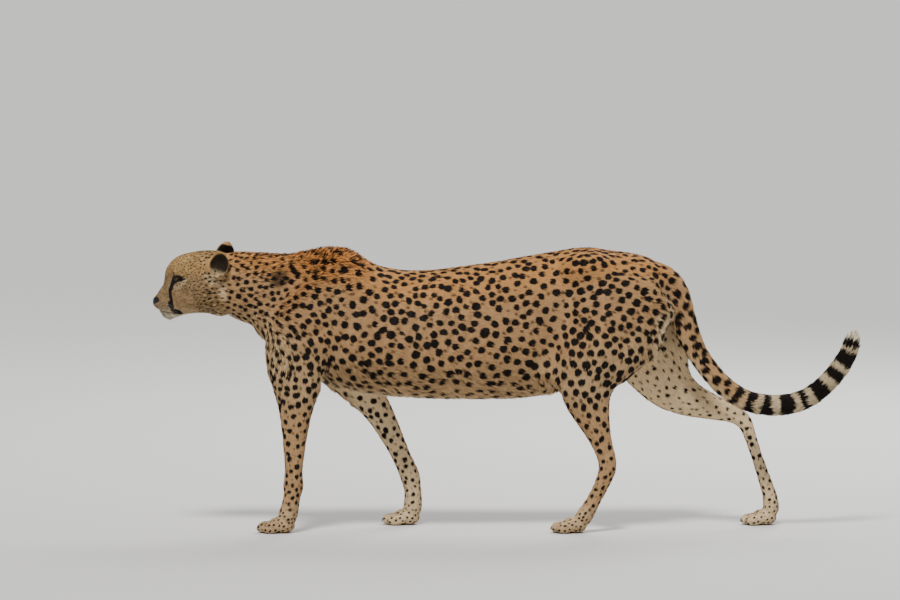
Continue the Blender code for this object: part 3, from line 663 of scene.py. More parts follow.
def split(form, chosen):
    """The chosen triangles as four each, with the triangles beside them cut to match."""
    points, triangles = form
    edges, number = edges_of(triangles, len(points))
    marked = np.zeros(len(edges), bool)
    marked[number[chosen]] = True
    while (two := marked[number].sum(1) == 2).any():
        marked[number[two]] = True
    middle = len(points) + np.cumsum(marked) - 1
    halves = points[edges[marked]].mean(1)
    cuts = marked[number].sum(1)
    v, m = triangles[cuts == 3].T, middle[number[cuts == 3]].T
    four = [np.stack(corners, 1) for corners in (
        (v[0], m[0], m[2]), (m[0], v[1], m[1]), (m[2], m[1], v[2]), tuple(m))]
    one = np.flatnonzero(cuts == 1)
    turn = (marked[number[one]].argmax(1)[:, None] + np.arange(3)) % 3
    v = np.take_along_axis(triangles[one], turn, 1).T
    m = middle[np.take_along_axis(number[one], turn, 1)[:, 0]]
    two = [np.stack((v[0], m, v[2]), 1), np.stack((m, v[1], v[2]), 1)]
    return np.vstack((points, halves)), np.vstack((triangles[cuts == 0], *four, *two))


def relax(form, share, rounds):
    """Each point moved half way, times its share, to the average of its neighbours, each round."""
    points, triangles = form
    (a, b), count = edges_of(triangles, len(points))[0].T, len(points)
    weight = 0.5 * share[:, None] / np.maximum(np.bincount(a, minlength=count)
                                               + np.bincount(b, minlength=count), 1)[:, None]
    for _ in range(rounds):
        pull = np.stack([np.bincount(a, (points[b] - points[a])[:, k], count)
                         + np.bincount(b, (points[a] - points[b])[:, k], count) for k in range(3)], 1)
        points = points + weight * pull
    return points, triangles


FACE_EDGE = -0.785
middles = body[0][body[1]].mean(1)
skin = split(body, middles[:, 0] < FACE_EDGE)
skin = relax(skin, ease(skin[0][:, 0], FACE_EDGE + 0.02, FACE_EDGE - 0.01), 2)
skin = relax(skin, ease(skin[0][:, 0], HEAD_EDGE - 0.02, HEAD_EDGE + 0.02)
             * ease(skin[0][:, 2], PAW_TOP, PAW_TOP + 0.04), 5)
print("skin:", len(skin[1]), "triangles")

# %% [markdown]
# ## The lie and the depth of the coat
#
# The skin lies inside the outline by the depth of the coat: a millimetre on the face and
# feet, more on the mane at the withers, the belly, the backs of the thighs and the tail.
# The same rule later sets how long each tuft is. All of it is a function of the place.

# %% How long the fur is, and how much it stands up


def regions(points, normals):
    """Shares from 0 to 1 of the named regions of the coat at each point."""
    x, y, z = points.T
    tail, tail_along, _ = on_tail(points)
    ear, ear_inner, ear_back, ear_height = on_ears(points, normals)
    top, under = ease(normals[:, 2], 0.15, 0.75), ease(normals[:, 2], -0.25, -0.80)
    off_tail, off_ear = 1 - tail, 1 - ear
    face = ease(x, -0.765, -0.815) * off_ear
    head_share = ease(x, -0.690, -0.740) * off_ear
    leg = ease(z, 0.350, 0.270) * off_tail
    crest = top * ease(x, -0.700, -0.620) * ease(x, -0.330, -0.400) * off_ear
    withers = crest * ease(x, -0.580, -0.480) * ease(z, 0.625, 0.665)
    belly = under * ease(x, -0.560, -0.460) * ease(x, 0.190, 0.120) * ease(z, 0.300, 0.315)
    seat = (ease(x, 0.315, 0.350) * ease(z, 0.620, 0.560) * ease(z, 0.330, 0.400) * off_tail
            * ease(normals[:, 0], -0.2, 0.5))
    ruff = (ease(x, -0.775, -0.745) * ease(x, -0.690, -0.715) * ease(z, 0.640, 0.610) * off_ear
            * ease(np.abs(y), 0.020, 0.045))
    breast = (ease(x, -0.480, -0.540) * ease(z, 0.560, 0.500) * ease(z, 0.380, 0.420)
              * ease(normals[:, 0], 0.2, -0.5))
    tip = tail * ease(tail_along, TAIL_LENGTH - 0.100, TAIL_LENGTH - 0.030)
    paw = ease(z, 0.085, 0.050) * off_tail
    return dict(tail=tail, along=tail_along, tip=tip, ear=ear, inner=ear_inner, ear_back=ear_back,
                ear_height=ear_height, face=face, head=head_share, leg=leg, paw=paw, crest=crest,
                withers=withers, belly=belly, seat=seat, ruff=ruff, breast=breast, top=top,
                sideways=normals[:, 1])


def by_region(at, plain, own):
    """One value for the body, moved towards each region's own by that region's share, in turn."""
    value = np.full(len(at["tail"]), plain)
    for name, wanted in own.items():
        value += at[name] * (wanted - value)
    return value


BODY_FUR = 0.0085
REGION_FUR = {"leg": 0.0065, "head": 0.0062, "face": 0.0036, "crest": 0.0160, "withers": 0.0230,
              "belly": 0.0190, "seat": 0.0130, "ruff": 0.0130, "breast": 0.0150, "tail": 0.0130,
              "tip": 0.0240, "paw": 0.0045, "ear": 0.0042}


def fur_length(at):
    """Length of the hairs in metres at each point."""
    return by_region(at, BODY_FUR, REGION_FUR)


def coat_depth(at):
    """How far the skin lies inside the outline: 0.18 of the fur, and 0.22 of what is over 8 mm."""
    length = fur_length(at)
    return 0.18 * length + 0.22 * np.maximum(length - 0.008, 0)


at = regions(skin[0], point_normals(skin))
depth = coat_depth(at)
print(f"fur {1000 * fur_length(at).min():.1f} to {1000 * fur_length(at).max():.1f} mm long,"
      f" skin {1000 * depth.min():.1f} to {1000 * depth.max():.1f} mm inside")

# %% [markdown]
# ## Muscle under the skin
#
# A lean cat shows the edges of its muscles as soft hollows. Each hollow here is a path in
# side view with a width and a depth. The skin sinks by a bell curve of its distance to
# the path, wherever it faces sideways.

# %% Hollows between the muscles
# side (-1 left, 1 right, 0 both), width, depth, and the path's x and z
HOLLOWS = [
    (0, 0.020, 0.0050, [(-0.500, 0.668), (-0.548, 0.600), (-0.590, 0.530)]),    # neck to shoulder
    (0, 0.018, 0.0045, [(-0.365, 0.620), (-0.385, 0.540), (-0.410, 0.460)]),    # behind the shoulder
    (-1, 0.014, 0.0030, [(-0.440, 0.520), (-0.490, 0.490), (-0.560, 0.500)]),   # blade to upper arm
    (1, 0.014, 0.0030, [(-0.390, 0.520), (-0.440, 0.490), (-0.520, 0.500)]),
    (-1, 0.011, 0.0025, [(-0.505, 0.445), (-0.500, 0.400), (-0.512, 0.350)]),   # along the forearm
    (0, 0.034, 0.0080, [(0.055, 0.540), (0.085, 0.480), (0.100, 0.430)]),       # flank
    (0, 0.016, 0.0035, [(0.115, 0.645), (0.150, 0.600), (0.150, 0.530)]),       # under the hip bone
    (-1, 0.014, 0.0032, [(0.240, 0.640), (0.235, 0.560), (0.210, 0.470), (0.190, 0.400)]),
    (-1, 0.013, 0.0030, [(0.345, 0.600), (0.320, 0.520), (0.275, 0.440), (0.245, 0.370)]),
    (1, 0.014, 0.0032, [(0.250, 0.640), (0.275, 0.560), (0.320, 0.480), (0.360, 0.410)]),
    (1, 0.013, 0.0030, [(0.350, 0.600), (0.385, 0.520), (0.430, 0.420), (0.470, 0.350)]),
    (-1, 0.009, 0.0040, [(0.225, 0.310), (0.243, 0.250), (0.256, 0.205)]),      # before the heel cord
    (1, 0.009, 0.0040, [(0.480, 0.335), (0.545, 0.300), (0.590, 0.272)]),
    (-1, 0.006, 0.0015, [(-0.530, 0.190), (-0.538, 0.140), (-0.545, 0.095)]),   # sinews of the shin
    (1, 0.006, 0.0015, [(-0.270, 0.200), (-0.248, 0.140), (-0.240, 0.095)]),
]
RIB_DEPTH, RIB_STEP = 0.0007, 0.034


def to_path(u, v, path):
    """Distance in a plane from each point (u, v) to a line of straight pieces."""
    best = np.full(len(u), np.inf)
    for (ua, va), (ub, vb) in zip(path, path[1:]):
        du, dv = ub - ua, vb - va
        t = np.clip(((u - ua) * du + (v - va) * dv) / (du * du + dv * dv), 0, 1)
        best = np.minimum(best, np.hypot(u - ua - t * du, v - va - t * dv))
    return best


def hollow_depth(points, normals):
    """Sum over the hollows of depth times exp(-(distance / width)^2), plus the ribs' faint ripple."""
    x, y, z = points.T
    sideways = ease(np.abs(normals[:, 1]), 0.25, 0.75)
    total = np.zeros(len(points))
    for side, width, sink, path in HOLLOWS:
        here = 1.0 if side == 0 else ease(side * y, 0.0, 0.03)
        total += here * sideways * sink * np.exp(-(to_path(x, z, path) / width)**2)
    chest = ease(x, -0.370, -0.300) * ease(x, -0.020, -0.110) * ease(z, 0.62, 0.56) * ease(z, 0.36, 0.42)
    total += sideways * chest * RIB_DEPTH * (1 + np.cos(2 * np.pi * (x - 0.35 * z) / RIB_STEP))
    return total


normals = point_normals(skin)
sink = depth + hollow_depth(skin[0], normals)
FLOOR_EDGE = 0.0035
on_floor = ease(skin[0][:, 2], FLOOR_EDGE, 0.0) * ease(normals[:, 2], -0.3, -0.8)
skin = (skin[0] - normals * (sink * (1 - on_floor))[:, None], skin[1])
skin[0][:, 2] = np.where(skin[0][:, 2] < 0.0010, 0.0, skin[0][:, 2])
print(f"skin drawn in by up to {1000 * sink.max():.1f} mm")

# %% [markdown]
# ## The face
#
# Nostrils, the split of the upper lip, the line of the mouth and the crease above the
# cheek are dents and grooves in the skin. The ears' cups are cleared of skull. Around each
# eye the skin is fitted to the eyeball: inside the opening it drops behind the ball, and
# round it it lies on the ball as a lid, then eases back into the cheek and the brow.

# %% Dents, grooves and ear cups
# centre on the +y side, radii, depth (below zero where the face stands out)
FACE_DENTS = [
    ((-0.8840, 0.0080, 0.5690), (0.0060, 0.0040, 0.0042), 0.0075),   # nostril
    ((-0.8770, 0.0140, 0.5705), (0.0070, 0.0050, 0.0024), 0.0026),   # its outer slit
    ((-0.8330, 0.0300, 0.6120), (0.0130, 0.0080, 0.0100), 0.0020),   # before the eye
    ((-0.7900, 0.0560, 0.6450), (0.0200, 0.0120, 0.0160), 0.0025),   # temple
    ((-0.8320, 0.0320, 0.5690), (0.0080, 0.0090, 0.0140), 0.0030),   # behind the whisker pad
    ((-0.8620, 0.0210, 0.5610), (0.0120, 0.0100, 0.0080), -0.0024),  # the pad itself, which stands out
    ((-0.8200, 0.0350, 0.6440), (0.0150, 0.0120, 0.0050), -0.0022),  # the ridge of the brow
]
MOUTH = [(-0.900, 0.5505), (-0.873, 0.5500), (-0.858, 0.5455), (-0.842, 0.5430), (-0.826, 0.5420),
         (-0.8135, 0.5440)]
LIP_WIDTH, LIP_DEPTH = 0.0019, 0.0026
SPLIT_WIDTH, SPLIT_DEPTH = 0.0016, 0.0022


def face_grooves(points):
    """How far the face sinks: dents as exp(-r^2) in their radii, grooves as exp(-(d / width)^2)."""
    x, y, z = points.T
    total = np.zeros(len(points))
    for centre, radii, sink in FACE_DENTS:
        away = (np.stack((x, np.abs(y), z), 1) - centre) / radii
        total += sink * np.exp(-(away**2).sum(1))
    total += LIP_DEPTH * np.exp(-(to_path(x, z, MOUTH) / LIP_WIDTH)**2)
    below_nose = ease(z, 0.5600, 0.5570) * ease(z, 0.5480, 0.5510) * ease(x, -0.860, -0.866)
    total += below_nose * SPLIT_DEPTH * np.exp(-(y / SPLIT_WIDTH)**2)
    return total * ease(x, -0.765, -0.785)


def clear_cups(points):
    """Points of the skull that fill an ear's cup, moved back to the floor of the cup."""
    for centre, (across, forward, upward) in ears.values():
        local = points - centre
        a, b, c = local @ across / EAR_WIDE, local @ upward / EAR_HIGH, local @ forward
        reach = np.hypot(a, b) / EAR_MOUTH
        floor = 0.004 - 0.010 * np.sqrt(np.clip(1 - reach**2, 0, 1))
        back = np.where((reach < 1) & (c > floor) & (c < 0.028), floor - c, 0)
        points = points + back[:, None] * forward
    return points


normals = point_normals(skin)
skin = (skin[0] - normals * face_grooves(skin[0])[:, None], skin[1])
skin = (clear_cups(skin[0]), skin[1])
skin = relax(skin, on_ears(skin[0], normals)[0], 3)
print("face modelled,", f"{time.time() - started:.0f} s")

# %% The openings of the eyes
EYE = (-0.8132, 0.0330, 0.6285)
EYE_RADIUS = 0.0150
GAZE, EYE_TILT = math.radians(42), math.radians(16)
OPEN_LONG, OPEN_HIGH, OPEN_LOW = 0.70, 0.27, 0.28
LID, LID_START, LID_END = 0.0013, 1.02, 1.50


def eye_axes(side):
    """Centre of an eye and its unit axes: to the outer corner, out along the gaze, and up."""
    gaze = unit(np.array((-math.cos(GAZE), side * math.sin(GAZE), 0.05)))
    back = np.array((math.sin(GAZE), side * math.cos(GAZE), 0.0))
    back = unit(back * math.cos(EYE_TILT) + np.array((0, 0, math.sin(EYE_TILT))))
    back = unit(back - np.dot(back, gaze) * gaze)
    up = np.cross(gaze, back) * -side
    return np.array((EYE[0], side * EYE[1], EYE[2])), back, gaze, up


def opening(points, side):
    """Distance from an eye's centre, angle from its gaze, and that angle as a share of the lids' opening.
    The opening is an ellipse in angle, longest towards the corners."""
    centre, back, gaze, up = eye_axes(side)
    away = points - centre
    reach = np.linalg.norm(away, axis=1)
    a, b, c = (away @ axis for axis in (back, up, gaze))
    sideways = np.maximum(np.hypot(a, b), 1e-9)
    angle = np.arctan2(sideways, c)
    edge = angle / sideways * np.hypot(a / OPEN_LONG, b / np.where(b > 0, OPEN_HIGH, OPEN_LOW))
    return reach, angle, edge


def fit_lids(points):
    """The skin round each eye: radius 0.84 R inside the opening, R + LID round it, its own beyond."""
    for side in (-1, 1):
        reach, angle, edge = opening(points, side)
        near = ease(reach, 2.7 * EYE_RADIUS, 2.0 * EYE_RADIUS)
        wanted = reach + ease(angle, LID_END, LID_START) * near * (EYE_RADIUS + LID - reach)
        wanted = wanted + ease(edge, 1.05, 0.95) * near * (0.84 * EYE_RADIUS - wanted)
        centre = eye_axes(side)[0]
        points = centre + (points - centre) * (wanted / np.maximum(reach, 1e-9))[:, None]
    return points


skin = (fit_lids(skin[0]), skin[1])
print("lids fitted round eyes of", 2000 * EYE_RADIUS, "mm")

# %% [markdown]
# ## Which way the hair lies
#
# A cat's hair runs back from the nose over the head, back and a little down along the
# trunk, down the legs and out along the tail. Here every region gives a direction, the
# shares blend them, and the sum is laid flat on the skin. Tufts then follow it, as they
# would after a hand has stroked the animal from head to tail.

# %% The lie of the coat
NOSE_POINT = np.array((-0.900, 0.0, 0.572))
LEG_PATHS = [path_of(rows) for rows in legs.values()]


def lie_of(points, normals, at):
    """Unit directions: the regions' directions blended by their shares, less the part along the normal."""
    x, y, z = points.T
    way = np.stack((np.ones(len(x)), 0.0 * y, -0.08 - 0.42 * ease(z, 0.66, 0.38)), 1)
    nearest, leg_way = np.full(len(x), np.inf), np.zeros_like(points)
    for path in LEG_PATHS:
        distance, _, direction = nearest_on(path, points)
        leg_way = np.where((distance < nearest)[:, None], direction, leg_way)
        nearest = np.minimum(nearest, distance)
    on_leg = ease(z, 0.60, 0.36) * ease(nearest, 0.16, 0.09) * (1 - at["tail"])
    ear_way = np.zeros_like(points)
    closest = np.full(len(x), np.inf)
    for centre, (_, _, upward) in ears.values():
        distance = np.linalg.norm(points - centre, axis=1)
        ear_way = np.where((distance < closest)[:, None], upward, ear_way)
        closest = np.minimum(closest, distance)
    for share, wanted in ((on_leg, leg_way), (at["paw"], np.array((-1.0, 0.0, -0.3))),
                          (at["tail"], on_tail(points)[2]),
                          (ease(x, -0.66, -0.76) * (1 - at["ear"]), unit(points - NOSE_POINT)),
                          (at["ear"], ear_way)):
        way = way + share[:, None] * (wanted - way)
    wander = 0.16 * np.sin(31 * x + 23 * z) + 0.10 * np.sin(71 * z - 43 * x + 29 * y)
    way = way + wander[:, None] * np.cross(normals, way)
    return unit(way - (way * normals).sum(1, keepdims=True) * normals)


normals = point_normals(skin)
at = regions(skin[0], normals)
lie = lie_of(skin[0], normals, at)
print("lie worked out for", len(lie), "points")

# %% [markdown]
# ## Spots
#
# A cheetah's spots are solid and nearly round, each 16 to 20 mm across on the flanks and
# smaller towards the neck, feet and face. They keep a distance from each other, yet stand
# in no pattern. That is what dart throwing gives: darts fall on the skin at random, and
# one stays only where no earlier one is too near. The kept ones then move twice, each to
# the middle of the darts nearest to it, which evens out the gaps. A second, smaller and
# browner set fills some of what is left.

# %% Throw the spots


def scatter(form, weight, count, dice):
    """Random places on the triangles, as dense as the weight says: triangle numbers and shares."""
    area = np.linalg.norm(face_normals(form)[0], axis=1) / 2
    total = np.cumsum(area * weight[form[1]].mean(1))
    picked = np.searchsorted(total, dice.random(count) * total[-1])
    u, v = dice.random((2, count))
    u, v = np.where(u + v > 1, 1 - u, u), np.where(u + v > 1, 1 - v, v)
    return picked, np.stack((1 - u - v, u, v), 1)


def blend(values, triangles, picked, share):
    """Values of the points, mixed at the places by their shares of the triangle's corners."""
    return np.einsum("nk,nkc->nc", share, values[triangles[picked]])


def rooted(form, weight, count, dice):
    """Random places on the skin: the draws themselves, and the place and the normal of each."""
    picked, share = scatter(form, weight, count, dice)
    return (picked, share, blend(form[0], form[1], picked, share),
            unit(blend(normals, form[1], picked, share)))


STRIP = 0.060    # how far along x another spot is looked for
SPARE_GAP = 0.0012


def spot_plan(points, at):
    """Radius of the spots, and the least distance between their middles, at each place."""
    x, _, z = points.T
    radius, gap = np.full(len(x), 0.0091), np.full(len(x), 0.0214)
    spine = at["top"] * ease(x, -0.360, -0.260) * (1 - at["tail"])
    thigh = ease(x, 0.130, 0.190) * ease(z, 0.640, 0.560)
    for share, wide, apart in (
            (thigh, 0.0089, 0.0190), (spine, 0.0077, 0.0174),
            (ease(x, -0.370, -0.450), 0.0080, 0.0182), (ease(x, -0.500, -0.600), 0.0058, 0.0134),
            (ease(z, 0.400, 0.340) * ease(x, 0.140, 0.100) * ease(x, -0.44, -0.40), 0.0078, 0.0244),
            (ease(z, 0.340, 0.270), 0.0064, 0.0172), (ease(z, 0.200, 0.120), 0.0048, 0.0144),
            (ease(z, 0.070, 0.040), 0.0030, 0.0100), (at["tail"], 0.0098, 0.0196),
            (ease(x, -0.670, -0.710), 0.0034, 0.0100), (ease(x, -0.735, -0.765), 0.0017, 0.0068)):
        radius += share * (wide - radius)
        gap += share * (apart - gap)
    return radius, gap


def far_apart(places, gap, throws):
    """Numbers of the darts that stay: each farther than its gap from all that landed before it."""
    kept = np.zeros(0, int)
    for throw in np.array_split(np.arange(len(places)), throws):
        free = throw
        if len(kept):
            nearest = np.linalg.norm(places[throw][:, None] - places[kept], axis=2).min(1)
            free = throw[nearest > gap[throw]]
        between = np.linalg.norm(places[free][:, None] - places[free], axis=2)
        clash = np.tril(between < gap[free][:, None], -1).any(1)
        kept = np.concatenate((kept, free[~clash]))
    return kept


def evened(places, kept, gap):
    """The kept darts, each moved to the dart nearest the middle of all darts that are closer to it than
    to another kept one, so that the spots spread evenly."""
    owner = np.empty(len(places), int)
    for part in np.array_split(np.argsort(places[:, 0]), 120):
        low, high = places[part[0], 0] - STRIP, places[part[-1], 0] + STRIP
        near = np.flatnonzero((places[kept, 0] > low) & (places[kept, 0] < high))
        away = np.linalg.norm(places[part][:, None] - places[kept[near]], axis=2) / gap[kept[near]]
        owner[part] = near[away.argmin(1)]
    size = np.maximum(np.bincount(owner, minlength=len(kept)), 1)
    middle = np.stack([np.bincount(owner, places[:, k], len(kept)) / size for k in range(3)], 1)
    order = np.lexsort((np.linalg.norm(places - middle[owner], axis=1), owner))
    first = np.searchsorted(owner[order], np.arange(len(kept)))
    return order[np.minimum(first, len(order) - 1)]


def spot_set(count, throws, seed, rounds=0, size=1.0, clear_of=None):
    """A dictionary of arrays: the middle, axes, radius and own shape of each spot."""
    dice = np.random.default_rng(seed)
    wide, gap = spot_plan(skin[0], at)
    allowed = (1 - at["ear"]) * (skin[0][:, 0] > -0.860) * (skin[0][:, 2] > 0.004)
    picked, share, place, normal = rooted(skin, allowed / gap**2, count, dice)
    axis = blend(lie, skin[1], picked, share)
    radius, gap = (blend(v[:, None], skin[1], picked, share)[:, 0] for v in (wide * size, gap))
    if clear_of is not None:
        away = np.linalg.norm(place[:, None] - clear_of["place"], axis=2) - clear_of["radius"]
        roomy = away.min(1) > radius + SPARE_GAP
        place, normal, axis, radius, gap = (v[roomy] for v in (place, normal, axis, radius, gap))
    kept = far_apart(place, gap, throws)
    for _ in range(rounds):
        kept = evened(place, kept, gap)
    place, normal, axis, radius = (v[kept] for v in (place, normal, axis, radius))
    lean = dice.normal(0, 0.5, len(kept))[:, None]
    axis = unit(axis + lean * np.cross(normal, axis))
    axis = unit(axis - (axis * normal).sum(1, keepdims=True) * normal)
    on_spine = ease(normal[:, 2], 0.5, 0.9) * ease(place[:, 0], -0.40, -0.30)
    return dict(place=place, normal=normal, axis=axis, side=np.cross(normal, axis),
                radius=radius * np.exp(dice.normal(0, 0.10, len(kept))),
                stretch=1 + dice.normal(0, 0.07, len(kept)) + 0.22 * on_spine,
                phase=dice.random((3, len(kept))) * 2 * np.pi)


SPOT_DARTS, SPOT_THROWS, EVEN_ROUNDS = 52000, 90, 2
FRECKLE_DARTS, FRECKLE_THROWS, FRECKLE_SIZE = 20000, 36, 0.48
spots = spot_set(SPOT_DARTS, SPOT_THROWS, 11, EVEN_ROUNDS)
freckles = spot_set(FRECKLE_DARTS, FRECKLE_THROWS, 12, size=FRECKLE_SIZE, clear_of=spots)
print("spots:", len(spots["radius"]), "freckles:", len(freckles["radius"]),
      f"{time.time() - started:.0f} s")

# %% [markdown]
# ## Where the coat is dark
#
# Every marking is a signed distance in millimetres: above zero inside it. The skin and
# each tuft ask the same functions, so their markings agree. Besides the spots there are
# the rings of the tail, the tear line from the eye to the mouth, the dark rims of eyes
# and lips, the line below the nose, the rows of whisker roots, the black patch behind
# each ear and the dark strands of the withers.

# %% Signed distances of the markings
FAR = -9.0       # the depth where no marking is near, in millimetres
CLEAR = 12       # how far a marking sinks where none belongs
SPOT_REACH = 0.035
LIP_INK, SPLIT_INK, ROOT_INK, RIM_INK = 1.1, 1.3, 1.3, 5.0


def into_spots(points, chosen):
    """Depth inside the nearest spot: its wavy radius less the distance to its middle, in millimetres.
    The wave is 1 + 0.05 sin(2a) + 0.05 sin(3a) + 0.03 sin(5a), each with a phase of its own."""
    depth = np.full(len(points), FAR)
    for part in np.array_split(np.argsort(points[:, 0]), 150):
        low, high = points[part[0], 0] - SPOT_REACH, points[part[-1], 0] + SPOT_REACH
        near = np.flatnonzero((chosen["place"][:, 0] > low) & (chosen["place"][:, 0] < high))
        if len(near) == 0:
            continue
        away = np.linalg.norm(points[part][:, None] - chosen["place"][near], axis=2)
        nearest = near[(away / chosen["radius"][near]).argmin(1)]
        offset = points[part] - chosen["place"][nearest]
        a, b, c = ((offset * chosen[name][nearest]).sum(1) for name in ("axis", "side", "normal"))
        turn, phase = np.arctan2(b, a), chosen["phase"][:, nearest]
        wave = (1 + 0.05 * np.sin(2 * turn + phase[0]) + 0.05 * np.sin(3 * turn + phase[1])
                + 0.03 * np.sin(5 * turn + phase[2]))
        stretch = chosen["stretch"][nearest]
        reach = np.sqrt((a / stretch)**2 + (b * stretch)**2 + (0.5 * c)**2)
        depth[part] = 1000 * (chosen["radius"][nearest] * wave - reach)
    return np.maximum(depth, FAR)


# middle of each ring, from the tip of the tail, and half its width
RINGS = [(0.027, 0.007), (0.063, 0.0175), (0.112, 0.0125), (0.168, 0.0155), (0.213, 0.0105),
         (0.258, 0.0165), (0.310, 0.0120), (0.350, 0.0110), (0.389, 0.0085)]
RINGS_END = 0.402


def into_rings(points):
    """Depth inside a ring of the tail in millimetres; its edge waves with the angle round the tail."""
    _, along, _ = on_tail(points)
    middle = np.stack([np.interp(along, np.linspace(0, TAIL_LENGTH, len(TAIL_PATH)), TAIL_PATH[:, k])
                       for k in range(3)], 1)
    round_tail = np.arctan2(points[:, 1] - middle[:, 1], points[:, 2] - middle[:, 2])
    from_tip = TAIL_LENGTH - along
    depth = np.full(len(points), FAR)
    for number, (centre, half) in enumerate(RINGS):
        wave = 0.0030 * np.sin(2 * round_tail + 2.1 * number) + 0.0016 * np.sin(5 * round_tail + number)
        depth = np.maximum(depth, 1000 * (half + wave - np.abs(from_tip - centre + 0.6 * wave)))
    return depth, from_tip


# half width in millimetres, and the line's x and z
TEARS = [
    (4.1, [(-0.8285, 0.6240), (-0.8346, 0.6150), (-0.8400, 0.6000), (-0.8385, 0.5850),
           (-0.8355, 0.5725), (-0.8380, 0.5610), (-0.8335, 0.5500), (-0.8225, 0.5450),
           (-0.8135, 0.5435)]),
    (4.9, [(-0.8270, 0.6280), (-0.8350, 0.6140), (-0.8395, 0.6000)]),
    (6.9, [(-0.8385, 0.5670), (-0.8365, 0.5610)]),
    (6.0, [(-0.8270, 0.5480), (-0.8165, 0.5450)]),
    (2.2, [(-0.8110, 0.6260), (-0.8010, 0.6300)]),
    (3.8, [(-0.8290, 0.6330), (-0.8210, 0.6355), (-0.8130, 0.6330)]),
]
WHISKER_ROWS = [(0.5680, -0.871, 4), (0.5630, -0.873, 5), (0.5580, -0.872, 5), (0.5533, -0.869, 4)]
WHISKER_STEP = 0.0062


def whisker_roots():
    """Places in side view of the whiskers' roots: rows that run back from the nose, a little downwards."""
    return [(start + WHISKER_STEP * (k + 0.4 * (row % 2)), z - 0.0006 * k)
            for row, (z, start, count) in enumerate(WHISKER_ROWS) for k in range(count)]


def face_ink(points):
    """Depth inside the dark lines of the face in millimetres."""
    x, y, z = points.T
    depth = np.full(len(points), FAR)
    for half, path in TEARS:
        depth = np.maximum(depth, half - 1000 * to_path(x, z, path))
    depth = np.where(np.abs(y) < 0.009, FAR, depth)
    lips = LIP_INK - 1000 * to_path(x, z, [(-0.875, 0.5500), *MOUTH[2:]])
    depth = np.maximum(depth, np.where(x < -0.812, lips, FAR))
    crease = SPLIT_INK - 1000 * np.hypot(y, np.maximum(z - 0.5620, 0))
    depth = np.maximum(depth, np.where((x < -0.872) & (z > 0.5490), crease, FAR))
    for u, v in whisker_roots():
        root = ROOT_INK - 1000 * np.hypot(x - u, z - v)
        depth = np.maximum(depth, np.where(np.abs(y) > 0.010, root, FAR))
    for side in (-1, 1):
        reach, _, edge = opening(points, side)
        rim = RIM_INK * (2.10 - edge)
        depth = np.maximum(depth, np.where(reach < 1.6 * EYE_RADIUS, rim, FAR))
    return depth


NOSE_X, NOSE_Z = -0.8790, 0.5705
NOSE_LONG, NOSE_HIGH = 0.0150, 0.0124
NOSE_TOP_WIDTH, NOSE_TAPER = 0.0245, 0.0160


def bare_share(points):
    """1 on the leather of the nose, in the nostrils, in the eyes' openings and under the pads.
    The nose is where (r^4 + (y / width)^4)^(1/4) < 1, with r in side view and less width below."""
    x, y, z = points.T
    across = NOSE_TOP_WIDTH - NOSE_TAPER * ease(z, 0.5720, 0.5575)
    beside = np.hypot((x - NOSE_X) / NOSE_LONG, (z - NOSE_Z) / NOSE_HIGH)
    nose = (beside**4 + (np.abs(y) / across)**4)**0.25
    bare = ease(nose, 1.06, 0.94)
    for side in (-1, 1):
        reach, _, edge = opening(points, side)
        bare = np.maximum(bare, ease(edge, 1.12, 1.00) * (reach < 1.4 * EYE_RADIUS))
    return np.maximum(bare, ease(z, 0.0045, 0.0025))


def markings(points, at):
    """The dark markings and the faint freckles, as depths in millimetres."""
    x, y, z = points.T
    spotted = into_spots(points, spots)
    rings, from_tip = into_rings(points)
    in_rings = at["tail"] * ease(from_tip, RINGS_END + 0.012, RINGS_END)
    ink = spotted + in_rings * (rings - spotted)
    chin = ease(x, -0.775, -0.800) * ease(z, 0.600, 0.585)
    bridge = ease(x, -0.838, -0.852) * ease(z, 0.668, 0.640)
    inward = ease(-np.sign(y) * at["sideways"], 0.15, 0.75) * ease(x, 0.10, 0.20) * (1 - at["tail"])
    ink = ink - CLEAR * np.maximum(chin, bridge) - 5.0 * inward * ease(z, 0.22, 0.34)
    ink = np.maximum(ink, np.where(at["face"] > 0.02, face_ink(points), FAR))
    patch = 4.0 * (at["ear_back"] - 0.48) - 14 * ease(at["ear_height"], 0.84, 0.97)
    ink = np.maximum(ink, np.where(at["ear_back"] > 0.3, patch, FAR))
    streak = 2.2 * np.sin(150 * x + 60 * z + 2.0 * np.sin(90 * y)) - 1.6
    ink = np.maximum(ink, np.where(at["withers"] > 0.05, streak * at["withers"] - 1.2, FAR))
    faint = into_spots(points, freckles) - CLEAR * np.maximum(at["tail"], at["ear"])
    return np.clip(ink, FAR, -FAR), np.clip(faint, FAR, -FAR)


ink, faint = markings(skin[0], at)
bare = bare_share(skin[0])
print(f"dark share of the skin's points: {(ink > 0).mean():.2f}", f"{time.time() - started:.0f} s")

# %% [markdown]
# ## The colour between the markings
#
# The ground colour is warm tan on the back, paler buff on the flanks and nearly white on
# the belly, chin, inner legs, and under the tail. The cheek and muzzle are greyer brown than
# the forehead, partly their own colour and partly painted shade of the face. It is a blend
# by region, like the length of the fur, with a grain of lighter and darker cells that is
# strongest on the head. It is kept on the points as a colour attribute.

# %% Ground colours


def linear(red, green, blue):
    """A colour in the light's own scale, from the 0 to 255 scale of a screen."""
    scale = np.array((red, green, blue)) / 255
    return np.where(scale > 0.04045, ((scale + 0.055) / 1.055)**2.4, scale / 12.92)


